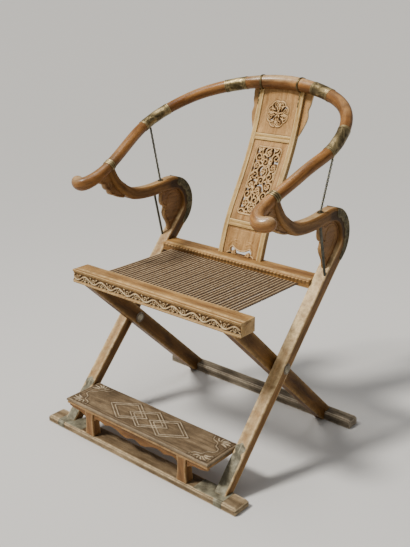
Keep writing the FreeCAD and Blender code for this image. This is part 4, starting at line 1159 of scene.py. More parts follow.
def medallion_strokes(middle):
    """Cloud scrolls in a round medallion: eight pairs of volutes about a blossom."""
    strokes = []
    heart = np.array([0, middle])
    for lobe in range(8):
        turn = (lobe + 0.5) * math.pi / 4
        out = heading(turn)
        hand = 1 if lobe % 2 else -1
        eye = heart + out * 27.5 + np.array([-out[1], out[0]]) * hand * 1.5
        strokes.append(scroll(eye, 8.6, 2.0, turn + hand * 2.6, -hand * 1.45, 2.3, 50))
        strokes.append(leaf(heart + out * 11.0, heart + out * 21.0, 0.25 * hand, 2.4, 24))
        out = heading(lobe * math.pi / 4)
        strokes.append(leaf(heart + out * 15.0, heart + out * 36.5, 0.18 * hand, 2.6, 30))
    return strokes + blossom((0, middle), 11.5, 5, 0.3, 3.3)


def build_top_panel():
    """The top panel with its pierced medallion inside a lobed bead."""
    middle = 925.97
    strokes = medallion_strokes(middle)

    def ring(u, v):
        angle = np.arctan2(v - middle, u)
        return np.hypot(u, v - middle) - (31.5 + 5.0 * np.abs(np.sin(4 * angle)) ** 0.6)

    def opening(u, v):
        return np.maximum(ring(u, v), within_strokes(u, v, strokes) + PIERCED_RIM)

    def front(u, v, depth):
        away = ring(u, v)
        carved = within_strokes(u, v, strokes)
        inside = np.where(carved > 0, dome(carved, 2.2, 3.0) - 1.2, -5.5)
        bead = 2.8 * bell(away - 2.6, 1.9)
        rise = np.where(away > 0, bead - eased_edge(np.minimum(depth, away), 1.0), inside)
        return rise - PANEL_SETBACK

    def rubbing_and_shade(u, v):
        away = ring(u, v)
        carved = within_strokes(u, v, strokes)
        # The bead is pale with wear; painted shade darkens the foot of the bead and the sides of the carving
        # down to the piercings.
        lip = 0.9 * bell(away - 2.6, 1.9) - 0.8 * bell(away - 6.4, 1.5)
        return np.where(away > 0, lip, np.clip(carved, 0, 2) * 0.4 - 0.98 * (carved < 0.5))

    splat_panel("top", 865.0, 1000.0, 0.9, opening, front, rubbing_and_shade, 71.0)


def garden_strokes(low, high):
    """A thicket of scrolls: three columns of volutes that turn either way, with leaves between them."""
    strokes = []
    rows = 7
    pitch = (high - low) / rows
    for row in range(rows + 1):
        for column in (-1, 0, 1):
            hand = 1 if (row + column) % 2 == 0 else -1
            centre = np.array([
                column * 30.5 + 2.5 * math.sin(row * 2.3 + column), low + pitch * (row + 0.5 * (column == 0)),
            ])
            start = 1.3 * row + 2.1 * column
            strokes.append(scroll(centre, 14.5, 3.0, start, hand * 1.3, 3.1, 64))
            for out, reach, bow, width in (
                (heading(start), 25, 0.3, 3.6), (heading(start + 2.2), 24, -0.3, 3.4),
            ):
                strokes.append(leaf(centre + out * 12, centre + out * reach, bow * hand, width, 26))
            if hand > 0:
                strokes += blossom(centre, 8.0, 5, start, 2.7)
    share = np.linspace(0, 1, 15)
    for hand in (1, -1):
        middle = 15.5 + 7.0 * np.sin(share * rows * math.pi)
        strokes.append(stem(np.stack([hand * middle, low - 3 + share * (high - low + 6)], 1), 2.3, 170))
    return strokes


def build_middle_panel():
    """The middle panel: wide flat margins, a rounded bead, and a pierced thicket of scrolls."""
    side, foot, head, corner = 44.0, 634.0, 824.0, 7.0
    strokes = garden_strokes(foot, head)

    def window(u, v):
        over_u = np.maximum(np.abs(u) - side + corner, 0)
        over_v = np.maximum(np.abs(v - (foot + head) / 2) - (head - foot) / 2 + corner, 0)
        return corner - np.hypot(over_u, over_v)

    def opening(u, v):
        return np.maximum(-window(u, v), within_strokes(u, v, strokes) + PIERCED_RIM)

    def front(u, v, depth):
        inside = window(u, v)
        carved = within_strokes(u, v, strokes)
        bead = 2.4 * bell(inside + 2.6, 1.6)
        rise = np.where(carved > 0, dome(carved, 2.8, 4.0) - 2.6, -6.0)
        return np.where(inside < 0, bead, rise) - PANEL_SETBACK

    def rubbing_and_shade(u, v):
        inside = window(u, v)
        carved = within_strokes(u, v, strokes)
        # The bead is pale with wear; painted shade darkens the foot of the bead and the sides of the carving
        # down to the piercings.
        lip = bell(inside + 2.6, 1.7) - 0.55 * bell(inside + 6.0, 1.3)
        return np.where(inside < 0, lip, np.clip(carved, 0, 3) * 0.36 - 0.98 * (carved < 0.6))

    splat_panel("middle", 612.0, 846.0, 0.95, opening, front, rubbing_and_shade, 171.0)


def build_bottom_panel():
    """The bottom panel: an opening of two ogee lobes at its foot, with a curl in each and a bead round it."""
    low, high = RAIL_TOP, 593.0
    across = np.array([1, 0.86, 0.72, 0.78, 0.64, 0.34, 0]) * 52.0
    rise = np.array([-0.2, 0.14, 0.22, 0.62, 1, 0.64, 0.5]) * 23.0
    points = np.stack([across, low + rise], 1)
    runs = [
        curve_through(points[first:last], count) for first, last, count in ((0, 3, 16), (2, 5, 20), (4, 7, 24))
    ]
    half = np.vstack([runs[0], runs[1][1:], runs[2][1:]])
    outline = np.vstack([half, (half[:-1] * [-1, 1])[::-1]])
    curls = [
        scroll((27, low + 6), 6.5, 1.6, -1.2, 1.3, 1.9, 40), leaf((10, low - 3), (22, low + 8), -0.25, 2.2),
    ]
    leaves = [
        leaf((50, low + 22), (20, low + 44), -0.16, 3.6), leaf((14, low + 34), (40, low + 52), -0.14, 3.0),
    ]
    curls += flipped(curls)
    leaves += flipped(leaves)

    def opening(u, v):
        return -np.minimum(within_outline(u, v, outline), -within_strokes(u, v, curls))

    def front(u, v, depth):
        hole = -within_outline(u, v, outline)
        frame_line = within_box(u, v, (-PANEL_HALF, low - 40), (PANEL_HALF, high))
        groove = -1.0 * bell(frame_line - 7.0, 1.3)
        return 2.2 * bell(hole - 2.6, 1.5) + groove + dome(within_strokes(u, v, leaves), 3.0, 0.9) - 4.6

    def rubbing_and_shade(u, v):
        hole = -within_outline(u, v, outline)
        # The bead round the opening is pale with wear, and painted shade darkens its foot.
        return bell(hole - 2.6, 1.6) - 0.5 * bell(hole - 6.2, 1.3)

    splat_panel("bottom", low, high, 0.9, opening, front, rubbing_and_shade, 271.0)


def build_wings():
    """The thin curved ears beside the top of the splat."""
    top, height = RAIL_TOP + SPLAT_HEIGHT, 140.0
    widths = np.array([1, 0.99, 0.83, 0.76, 0.85, 0.66, 0.33, 0]) * 27.0
    drops = np.array([0, 0.22, 0.36, 0.44, 0.54, 0.72, 0.88, 1]) * height
    edge = curve_through(np.stack([SPLAT_HALF + widths, top - drops], 1), 90)
    edge[:, 0] -= 1.8 * (1 - np.abs(np.sin(np.linspace(0, 5 * math.pi, 90)))) * np.linspace(1, 0, 90)
    outline = np.vstack([[SPLAT_HALF - 0.5, top], edge, [SPLAT_HALF - 0.5, top - height]])
    for side, sign in LEFT_AND_RIGHT:
        near, far = sorted((sign * 82.0, sign * 112.0))
        board(
            side + "_wing", (near, top - height - 2.0), (far, top + 1.0), 1.0,
            lambda u, v: within_outline(u * sign, v, outline),
            lambda u, v, depth: -10.0 - eased_edge(depth, 2.2),
            lambda u, v, depth: -18.0 + eased_edge(depth, 2.2), on_splat, panel_wood, shift=37.0 * sign,
            grain_turn=1, replaced=[side + "_splat_wing"],
        )


def build_clips():
    """The corroded strips over the top joints of the stiles, whose edges wander by two sines."""
    low, high = 948.0, 997.0
    for side, middle in (("right", 69.0), ("left", -81.0)):

        def shape(u, v):
            half = 1.6 + 0.8 * np.sin(v / 3.1) + 0.6 * np.sin(v / 1.7 + middle)
            return np.minimum(half - np.abs(u - middle), np.minimum(v - low, high - v))

        board(
            side + "_stile_clip", (middle - 3.5, low), (middle + 3.5, high), 0.7, shape,
            lambda u, v, depth: 0.3 + 0.4 * np.clip(depth, 0, 1), -0.3, on_splat, sheet_metal,
        )


# Carved boards and metal of each side


def two_faced(name, node, outline, thick, strokes, sign, shift):
    """A board across the side view, with both faces carved, its edges rounded over and a rim round it.

    Painted shade darkens a line just inside the rim, at the foot of its bead, by a bell curve of the
    distance from it.
    """

    def rise(u, v, depth):
        carved = dome(within_strokes(u, v, strokes), 2.4, 2.0)
        return thick / 2 - eased_edge(depth, 3.4) + carved + 1.2 * bell(depth - 3.2, 1.6) - 2.6

    def rubbing_and_shade(u, v):
        depth = within_outline(u, v, outline)
        carved = np.where(within_strokes(u, v, strokes) > 0, 0.5, 0.16)
        # Raised carving and the edge are pale with wear; painted shade darkens the line inside the rim.
        return carved - 0.95 * bell(depth - 6.5, 1.5) + 0.6 * bell(depth, 2.6)

    board(
        name, outline.min(0) - 2, outline.max(0) + 2, 1.0, lambda u, v: within_outline(u, v, outline), rise,
        lambda u, v, depth: -rise(u, v, depth), lambda u, v, r: np.stack([(POST_MIDDLE + r) * sign, u, v], 1),
        carved_wood, shift=shift, rubbing_and_shade=rubbing_and_shade, replaced=[node],
    )


def build_spandrels():
    """The teardrop board in each bend, with its cusped and scalloped front edge."""
    across = np.array([-0.84, -1.0, -0.90, -0.62, -0.74, -0.66, -0.42, -0.30])
    rise = np.array([1.3, 0.55, 0.05, -0.12, -0.45, -0.85, -1.25, -1.72])
    points = BEND_CENTRE + np.stack([across, rise], 1) * BEND_INNER
    tip = points[-1][1]
    upper, lower = curve_through(points[:4], 30), curve_through(points[3:], 40)
    far = on_bend(BEND_INNER + 2.0, np.linspace(math.radians(118), BACK_TURN + 0.06, 30))
    far = far[far[:, 1] > tip - 60]
    foot = np.array([[post_front_y(tip - 4) + 1.0, tip - 4]])
    outline = np.vstack([far, foot, lower[::-1], upper[::-1][1:]])
    strokes = []
    for mark in (0.12, 0.34, 0.56, 0.78):
        near = lower[int(mark * (len(lower) - 1))]
        strokes.append(leaf(near + [2.5, 5.0], near + [13.0, 9.0], 0.25, 2.6, 18))
    arch = np.array([(-26, -14), (-22, 16), (2, 29), (24, 14), (20, -16), (2, -40)], float)
    strokes.append(stem(BEND_CENTRE + [4.0, 6.0] + arch, 1.3, 90))
    for side, sign in LEFT_AND_RIGHT:
        two_faced(side + "_spandrel_board", side + "_spandrel", outline, 20.0, strokes, sign, 19.0 * sign)


def build_brackets():
    """The carved leaf that hugs the front of each neck, in four lobes up to the hand-hold."""
    arm = arm_middle()
    reach = np.array([-1.5, -0.95, -0.4, -0.1, 0.08, 0.35, 0.5, 0.85, 1.0]) * 40.0
    rise = np.array([-0.145, -0.06, 0.11, 0.16, 0.36, 0.46, 0.68, 0.76, 1.06]) * 66.0
    points = np.stack([arm[-1][0] - reach, arm[0][1] + rise], 1)
    lower = np.vstack(
        [curve_through(points[count : count + 3], 16)[:-1] for count in (0, 2, 4, 6)] + [points[-1:]]
    )
    outline = np.vstack([lower, arm[:-4:-1]])
    strokes = [
        scroll(points[5] + [13, 12], 9.0, 2.2, -1.3, 1.2, 2.2, 46),
        scroll(points[3] + [12, 8], 6.5, 1.8, -1.0, 1.1, 1.8, 40),
        leaf(points[7] + [4, 4], points[7] + [19, 16], 0.2, 2.6),
        leaf(points[1] + [2, 4], points[3] + [6, 4], 0.15, 1.8),
    ]
    for side, sign in LEFT_AND_RIGHT:
        two_faced(side + "_leaf_bracket", side + "_handle_bracket", outline, 24.0, strokes, sign, 29.0 * sign)


def build_rods():
    """Iron rods: the left upper one has three ridges that turn about it, the right upper one is beaded."""
    elbow_y, elbow_z = on_bend(BEND_MIDDLE, ARM_TURN)[0]
    top = crest_at(np.array([487.0]))[0][0]
    outer_x = HALF_WIDTH - 5.0
    ends = {
        "upper": ((POST_MIDDLE, elbow_y - 36.0, elbow_z + 12.0), top - [0, 0, 12.0]),
        "lower": ((outer_x, post_front_y(521.0) + 3, 520.0), (outer_x, elbow_y - 55.0, elbow_z - 14.0)),
    }
    turn = np.arange(12) * math.tau / 12
    for side, sign in LEFT_AND_RIGHT:
        for level, points in ends.items():
            low, high = np.array(points) * [sign, 1, 1]
            count = int(np.linalg.norm(high - low) / 1.6)
            line = straight(low, high, count)
            along = run_along(line)[:, None]
            if level == "lower":
                radius, height, ridge = 3.8, 0.0, 0 * along + 0 * turn
            elif sign > 0:
                radius, height, ridge = 3.0, 0.95, np.cos(along / 12.0 * math.tau) + 0.4 * np.cos(turn * 3)
            else:
                radius, height, ridge = 3.2, 0.5, np.cos(3 * (turn - along * math.tau / 48.0))
            direction = unit(high - low)
            sideways = unit(np.cross(direction, ACROSS))
            swept(
                side + "_" + level + "_iron_rod", line, unit(np.cross(sideways, direction)), sideways,
                ring_points(radius + height * ridge, turn), rod_iron,
                wear_and_light=np.clip(ridge, 0, 1) * (1.0 if sign > 0 else 0.4), replaced=[side + "_" + level + "_rod"],
            )


# Rails

FRONT_RAIL_BACK = -211.709
FRONT_RAIL_FRONT = -272.209
REAR_RAIL_FRONT = 83.032
REAR_RUNNER_FRONT = 215.916
REAR_RUNNER_HEIGHT = 28.0
CORD_PAIR_PITCH = 12.8


def across_chair(corners, radius, half_length, count):
    """A side-view profile repeated at points across the chair.

    Gives the line through the profile's middle, one outline for each point, and the profile's wear.
    """
    outline, wear_and_light = profile_section(corners, radius)
    y, z = outline.mean(0)
    line = straight((-half_length, y, z), (half_length, y, z), count)
    return line, np.repeat((outline - [y, z])[None], count, 0), wear_and_light


def vine_strokes(half_length, low, high):
    """A running vine: a stem that waves along the band, with a volute and a bud in each hollow."""
    middle, half = (low + high) / 2, (high - low) / 2
    period = 71.0
    count = int(half_length * 2 / period) + 1
    u = np.linspace(-half_length, half_length, 900)
    strokes = [(np.stack([u, middle + half * 0.66 * np.sin(u / period * math.tau)], 1), np.full(900, 2.5))]
    for number in range(-count, count + 1):
        for hand in (1, -1):
            centre_u = (number + 0.25 * hand) * period
            if abs(centre_u) > half_length - 8:
                continue
            centre = np.array([centre_u, middle - hand * half * 0.12])
            strokes.append(scroll(centre, half * 0.82, 2.4, math.pi / 2 * hand - 1.7, 1.3, 2.1, 60))
            for near, far, bow in (
                ((0.95, -0.25), (1.45, -0.72), 0.22), ((-0.85, -0.35), (-1.35, -0.75), -0.22),
            ):
                start, end = [centre + np.array(reach) * [half, hand * half] for reach in (near, far)]
                strokes.append(leaf(start, end, bow, 2.0, 18))
            strokes.append((centre[None], np.array([2.2])))
    return strokes


def build_front_rail():
    """The front rail: a plain top with a groove, and a band of carved vine between mouldings."""
    front, back, top, under = FRONT_RAIL_FRONT, FRONT_RAIL_BACK, 500.0, 459.0
    corners = [
        (back, under), (back, top), (front + 15.5, top), (front + 15.0, top - 1.3), (front + 12.5, top - 1.3),
        (front + 12.0, top), (front, top), (front, top - 6.5),
        (front + 4.5, top - 7.5), (front + 4.5, top - 9.0),
        (front + 2.6, top - 9.5), (front + 4.0, top - 11.0), (front + 4.0, under + 7.5), (front, under + 4.5),
        (front, under),
    ]
    line, outline, wear_and_light = across_chair(corners, 1.6, 320.5, 60)
    swept(
        "front_rail_body", line, BACKWARD, UPWARD, outline, rail_wood, "seat_frame", wear_and_light=wear_and_light, end_round=2.5,
        replaced=["front_seat_rail"],
    )
    low, high, half = under + 7.2, top - 10.8, 319.0
    strokes = vine_strokes(316.0, low, high)

    def rise(u, v, depth):
        carved = within_strokes(u, v, strokes)
        return dome(carved, 1.9, 3.6) + 0.1 - eased_edge(np.minimum(depth, 1.0), 1.0) * 0.4

    def rubbing_and_shade(u, v):
        carved = within_strokes(u, v, strokes)
        # The raised vine is pale with wear; the sunk ground is dark with painted shade.
        return np.where(carved > 0, carved * 0.9 - 0.15, -0.9)

    board(
        "front_rail_vine", (-half, low), (half, high), 0.8,
        lambda u, v: within_box(u, v, (-half, low), (half, high)),
        rise, -1.2, lambda u, v, r: np.stack([u, front + 4.0 - r, v], 1),
        vine_wood, "seat_frame", rubbing_and_shade=rubbing_and_shade,
    )
    points = [(front + 16, under + 6), (front + 13, under + 22), (front + 24, top - 8), (front + 42, top - 7)]
    bead = [stem(points, 1.6, 60)]
    for side, sign in LEFT_AND_RIGHT:
        board(
            side + "_front_rail_end_bead", (front + 6, under + 2), (back - 4, top - 2), 0.8,
            lambda u, v: within_strokes(u, v, bead), lambda u, v, depth: dome(depth, 1.5, 1.6), -0.8,
            lambda u, v, r: np.stack([sign * (320.0 + r), u, v], 1), rail_wood, "seat_frame",
        )


def build_rear_rail():
    """The rear rail between the posts, with a lip over the cords that is notched once for each pair."""
    front, back, top, under = REAR_RAIL_FRONT, REAR_RAIL_FRONT + 66.0, RAIL_TOP, 482.0
    corners = [
        (back, under), (back, top), (front + 13.0, top), (front + 12.0, top - 2.2), (front + 8.0, top - 2.2),
        (front + 6.5, top - 0.8), (front, top - 4.5), (front, top - 9.0),
        (front + 4.0, top - 9.0), (front + 4.0, under),
    ]
    line, outline, wear_and_light = across_chair(corners, 1.4, POST_INNER, 620)
    y, z = line[0, 1:]
    lip = np.clip((front + 6.5 - y - outline[:, :, 0]) / 5.0, 0, 1) * (outline[:, :, 1] + z > top - 9.5)
    notch = 0.5 - 0.5 * np.cos(line[:, :1] / CORD_PAIR_PITCH * math.tau)
    outline[:, :, 0] += lip * notch * 1.8
    # Painted shade darkens the lip in each notch, and the whole rail is a little darker.
    swept(
        "rear_rail_body", line, BACKWARD, UPWARD, outline, rail_wood, wear_and_light=wear_and_light - lip * notch * 0.9 - 0.2,
        replaced=["rear_seat_rail"],
    )


def build_runners():
    """The two sills, with stepped ends, worn arrises and a wandering weathered surface."""
    bead = 4.0
    for name, half_length, near, depth, height, finish, body in (
        ("front", 376.5, FRONT_EDGE, 60.0, RUNNER_HEIGHT, runner_wood, "back_frame"),
        ("rear", 375.0, REAR_RUNNER_FRONT, 46.0, REAR_RUNNER_HEIGHT, grey_wood, "seat_frame"),
    ):
        far = near + depth
        corners = [
            (near, 0), (far, 0), (far, height - bead), (far - bead, height),
            (near + bead, height), (near, height - bead),
        ]
        line, outline, wear_and_light = across_chair(corners, 1.8, half_length, 260)
        along = line[:, :1]
        end = half_length - np.abs(along)
        steps = 1.0 * bell(end - 13, 1.3) + 0.9 * bell(end - 19, 1.3)
        sunk = np.maximum(0, 7.0 - end) * 0.9 + steps
        wander = 0.5 * np.sin(along / 61.0) + 0.35 * np.sin(along / 23.0 + 1.0)
        upper = outline[:, :, 1] > height * 0.1
        outline[:, :, 1] -= np.where(upper, sunk * 0.75 + np.abs(wander), 0)
        # Painted shade: the top face away from the ends is darker, where it lies under the footrest and the
        # seat.
        shaded_top = (np.abs(outline[:, :, 0]) < depth / 2 - bead - 1) & (outline[:, :, 1] > 0) & (end > 60)
        swept(
            name + "_sill", line, BACKWARD, UPWARD, outline, finish, body, wear_and_light=wear_and_light - 0.45 * shaded_top,
            end_round=2.0, shift=61.0, replaced=[name + "_runner"],
        )


def build_legs():
    """The straight legs of the seat frame, from behind the front rail down to the rear runner.

    The first row slides along the leg on to the level of its top and the last on to that of its foot.
    Below the runner's top no point goes behind the runner's front.
    """
    lean = math.radians(46.1)
    top_z, low_z, count = 457.0, 5.0, 40
    line = straight(*[(PIVOT_Y - (z - PIVOT_HEIGHT) * math.tan(lean), z) for z in (top_z, low_z)], count)
    outline, wear_and_light = bar_section(16.0, 24.25, 2.6)
    outline = np.repeat(outline, count, 0)
    y = line[:, None, 0] + outline[:, :, 1] * math.cos(lean)
    z = line[:, None, 1] + outline[:, :, 1] * math.sin(lean)
    row = np.arange(count)[:, None]
    slide = np.where(row == 0, z - top_z, 0.0) - np.where(row == count - 1, low_z - z, 0.0)
    slide = slide / math.cos(lean)
    y = y + slide * math.sin(lean)
    z = z - slide * math.cos(lean)
    sunk = z < REAR_RUNNER_HEIGHT
    drawn = y - (REAR_RUNNER_HEIGHT - z) * math.tan(lean)
    y = np.where((y > REAR_RUNNER_FRONT) & sunk, np.maximum(REAR_RUNNER_FRONT, drawn), y)
    y = np.where(sunk, np.minimum(y, REAR_RUNNER_FRONT - 0.05), y)
    z = np.maximum(z, 4.0)
    run = np.broadcast_to(run_along(line)[:, None, None], z.shape + (1,))
    for side, sign in LEFT_AND_RIGHT:
        add_mesh(
            side + "_straight_leg", with_middles(np.stack([sign * 268.0 + outline[:, :, 0], y, z], 2)),
            tube_faces(*z.shape), leg_wood, "seat_frame", replaced=[side + "_leg"],
            grain=with_middles(np.concatenate([run, outline], 2)) + [97.0 * sign, 5, 5],
            wear_and_light=np.r_[np.tile(wear_and_light, count), 0.2, 0.2],
        )


# Footrest

FOOT_TOP = 116.0
FOOT_DEPTH = 137.0
FOOT_HALF = 283.0
FOOT_MIDDLE_Y = FRONT_EDGE + FOOT_DEPTH / 2
TREAD = (-FOOT_HALF, FRONT_EDGE), (FOOT_HALF, FRONT_EDGE + FOOT_DEPTH)


def footrest_strokes():
    """Lines of the tread: three double lozenges in a chain, and a cusped line that cuts off each corner."""
    strokes = []
    for shift in (-80.0, 0.0, 80.0):
        for reach_u, reach_v in ((75.0, 50.0), (59.0, 39.5)):
            corners = np.array([(reach_u, 0), (0, reach_v), (-reach_u, 0), (0, -reach_v), (reach_u, 0)], float)
            line = np.vstack([straight(a, b, 60) for a, b in zip(corners[:-1], corners[1:])])
            strokes.append((line + [shift, FOOT_MIDDLE_Y], np.full(len(line), 1.7)))
    cusps = curve_through([(206, 58), (216, 40), (234, 34), (241, 18), (256, 9), (259, 0)], 70)
    for hand_u in (1, -1):
        for hand_v in (1, -1):
            strokes.append((cusps * [hand_u, hand_v] + [0, FOOT_MIDDLE_Y], np.full(70, 1.5)))
            heel = np.array([hand_u * 236.0, FOOT_MIDDLE_Y + hand_v * 38.0])
            for reach in ((-14, 18), (2, 22), (17, 21), (28, 16), (36, 4), (33, -10)):
                tip = np.array(reach) * [hand_u, hand_v]
                strokes.append(leaf(heel + tip * 0.28, heel + tip, 0.1 * hand_u * hand_v, 2.6, 24))
    return strokes


def build_tread():
    """The tread: a moulded edge, a hollow ground with worn relief, and another moulding under it."""
    strokes = footrest_strokes()
    moulding = [tuple(np.add(corner, shift)) for corner, shift in zip(TREAD, (2.5, -2.5))]

    def from_edge(u, v):
        return within_box(u, v, TREAD[0], np.add(TREAD[1], (0, 30)))

    def on_top(u, v, rise):
        return np.stack([u, v, FOOT_TOP + rise], 1)

    def top(u, v, depth):
        carved = within_strokes(u, v, strokes)
        edge = from_edge(u, v)
        bead = -1.5 * bell(edge - 9.0, 1.8) - 1.1 * bell(edge - 17.0, 1.3)
        hollow = -1.1 * smooth_share((edge - 17.0) / 3.0)
        worn_flat = 0.35 * np.sin(u / 47.0) * np.sin(v / 31.0)
        return (
            bead + hollow + dome(carved, 1.8, 2.2)
            - eased_edge(np.minimum(depth, edge), 6.0) + worn_flat - 0.9
        )

    def rubbing_and_shade(u, v):
        carved = within_strokes(u, v, strokes)
        edge = from_edge(u, v)
        # The relief is pale with wear. Painted shade darkens the two moulding grooves, the ground at the foot
        # of the relief and the outermost edge; the band just inside the edge is rubbed pale.
        lines = 0.8 * (bell(edge - 9.0, 1.6) + bell(edge - 17.5, 1.4))
        relief = np.where(carved > 0, carved * 0.8, -0.7 * bell(carved + 2.6, 1.8))
        return relief - lines + 0.25 * bell(edge - 4.0, 2.5) - 0.35 * (edge < 1.5)

    board(
        "footrest_tread", *TREAD, 1.3, lambda u, v: within_box(u, v, *TREAD), top,
        lambda u, v, depth: -9.6 + eased_edge(depth, 3.0), on_top, footrest_wood, "footrest", rubbing_and_shade=rubbing_and_shade,
        replaced=["footrest_board"], crease=60.0,
    )
    board(
        "footrest_moulding", *moulding, 2.0, lambda u, v: within_box(u, v, *moulding),
        lambda u, v, depth: -9.0 - eased_edge(depth, 4.5), lambda u, v, depth: -19.0 + eased_edge(depth, 1.2),
        on_top, carved_wood, "footrest",
    )


def build_footrest_frame():
    """The cusped apron between the footrest's two feet, its ends outside them, and the waisted feet."""
    inner_x, outer_x, end_x, high = 168.0, 204.0, 277.0, 97.0
    along = np.array([0, 3, 12, 30, 50, 64, 82, 102, 124, 140, 154, 168])
    drop = np.array([24.4, 17, 12.5, 13.5, 18, 13.5, 12.5, 16, 23, 24, 19.5, 16.5])
    half = np.stack([inner_x - along, high - drop * 1.2], 1)
    runs = [curve_through(half[first:last], 16) for first, last in ((0, 5), (4, 10), (9, 12))]
    right_side = np.vstack([runs[0], runs[1][1:], runs[2][1:]])
    left_side = (right_side * [-1, 1])[::-1]
    outline = np.vstack([[inner_x, high], right_side, left_side[1:], [-inner_x, high]])
    ends = np.array([1, 0.55, 0.50, 0.30]) * 24.0
    end_line = curve_through(np.stack([np.linspace(outer_x, end_x, 4), high - ends], 1), 30)
    end_outline = np.vstack([[outer_x, high], end_line, [end_x, high]])
    board(
        "footrest_cusped_apron", (-278.0, high - 31.0), (278.0, high + 0.4), 1.1,
        lambda u, v: np.maximum(within_outline(u, v, outline), within_outline(np.abs(u), v, end_outline)),
        lambda u, v, depth: -0.6 - eased_edge(depth, 2.5) + 0.8 * bell(depth - 4.0, 1.4), -11.0,
        lambda u, v, rise: np.stack([u, FRONT_EDGE + 6.0 - rise, v], 1), carved_wood, "footrest",
        replaced=["footrest_apron"],
    )
    low = RUNNER_HEIGHT + 0.3
    heights = np.linspace(low, high, 40)
    share = (heights - low) / (high - low)
    half_wide = 18.0 - 3.6 * np.sin(math.pi * np.clip((share - 0.12) / 0.88, 0, 1)) ** 0.8
    section, wear_and_light = bar_section(half_wide, 15.0, 2.4)
    for side, sign in LEFT_AND_RIGHT:
        swept(
            side + "_shaped_foot",
            in_side_view(np.stack([0 * heights + FRONT_EDGE + 18.0, heights], 1), sign * 186.0),
            ACROSS, BACKWARD, section, carved_wood, "footrest", wear_and_light=wear_and_light, end_round=1.0,
            replaced=[side + "_footrest_foot"],
        )


# Seat cords

CORD_COUNT = 78
CORD_HEIGHT = 489.0


def build_cords():
    """Twisted cords in pairs from rail to rail, the second of each pair darkened with painted shade.

    Each is a tube whose radius is raised by three strands that turn about it once in a lay. It sags by
    a sine of its length and wanders by another.
    """
    start_y, end_y = FRONT_RAIL_BACK, REAR_RAIL_FRONT + 4.0
    rows, columns, thick, lay = 100, 9, 2.13, 21.0
    number = np.arange(CORD_COUNT)[:, None, None]
    second = number % 2 == 1
    share = np.linspace(0, 1, rows)[None, :, None]
    turn = np.arange(columns)[None, None] * math.tau / columns
    along = share * (end_y - start_y)
    x = (number - (CORD_COUNT - 1) / 2) * CORD_PAIR_PITCH / 2 + np.where(second, -0.35, 0.35)
    lean = np.where(second, 0.3, -0.3)
    sag = 1.6 * np.sin(math.pi * share) * (0.6 + 0.4 * np.cos(number * 2.1))
    wander = 0.15 * np.sin(along / 37.0 + number * 1.7)
    radius = thick + 0.16 * np.cos(3 * turn - (along / lay * math.tau * 3 + number))
    px = x - lean + 2 * lean * share + wander + radius * np.cos(turn)
    py = start_y + along
    pz = CORD_HEIGHT - sag + radius * np.sin(turn)
    # Painted shade: the grooves between strands, each cord's sides and underside, and all of the second cord.
    groove = np.clip((thick - radius) / 0.4, 0, 0.4) + np.clip(0.95 - np.sin(turn) * 1.35, 0, 1) + 0.82 * second
    swirl = turn * 2.0 / math.tau * 3 + number * 17.0
    points, grain = [
        np.stack(np.broadcast_arrays(*parts), 3).reshape(-1, 3) for parts in (
            (px, py, pz), (along, swirl, 0 * px),
        )
    ]
    faces = (grid_faces(rows, columns)[None] + number * rows * columns).reshape(-1, 4)
    return add_mesh(
        "twisted_seat_cords", points, [faces], cord_finish, "", replaced=["seat_cords"], grain=grain,
        wear_and_light=groove.reshape(-1),
    )


# Metal trim

def build_rosette(side, sign):
    """The turned boss with petals outside the pivot: its rise falls with the square of the radius.

    The rim waves in and out by the cosine of the petal count times the turn.
    """
    radius, rise, petals, rim_rise = 17.0, 1.8, 8, 0.35
    rings, around = 16, petals * 8
    share = np.linspace(0.04, 1, rings)[:, None]
    turn = (np.arange(around) * math.tau / around)[None]
    rim = radius * (1 - 0.05 * (1 - np.cos(petals * turn)) * share**2)
    out = rise * (1 - share**2) + 0.55 * np.abs(np.cos(petals * turn / 2)) * np.sin(math.pi * share) + rim_rise
    base = HALF_WIDTH * sign
    points = np.stack([
        base + sign * out, PIVOT_Y + share * rim * np.cos(turn), PIVOT_HEIGHT + share * rim * np.sin(turn),
    ], 2)
    flat = points[-1:] * [0, 1, 1] + [base, 0, 0]
    points = np.vstack([
        np.concatenate([points, flat]).reshape(-1, 3), [base + sign * (rise + rim_rise), PIVOT_Y, PIVOT_HEIGHT],
        [base, PIVOT_Y, PIVOT_HEIGHT],
    ])
    # The middle of the boss is pale: rubbed bright, and a painted highlight as well.
    wear_and_light = bell(np.broadcast_to(share, (rings, around)), 0.32)
    add_mesh(
        side + "_outer_rosette", points, tube_faces(rings + 1, around), boss_iron,
        replaced=[side + "_pivot_rosette"], wear_and_light=np.r_[wear_and_light.ravel(), np.zeros(around), 1.0, 0.0],
    )


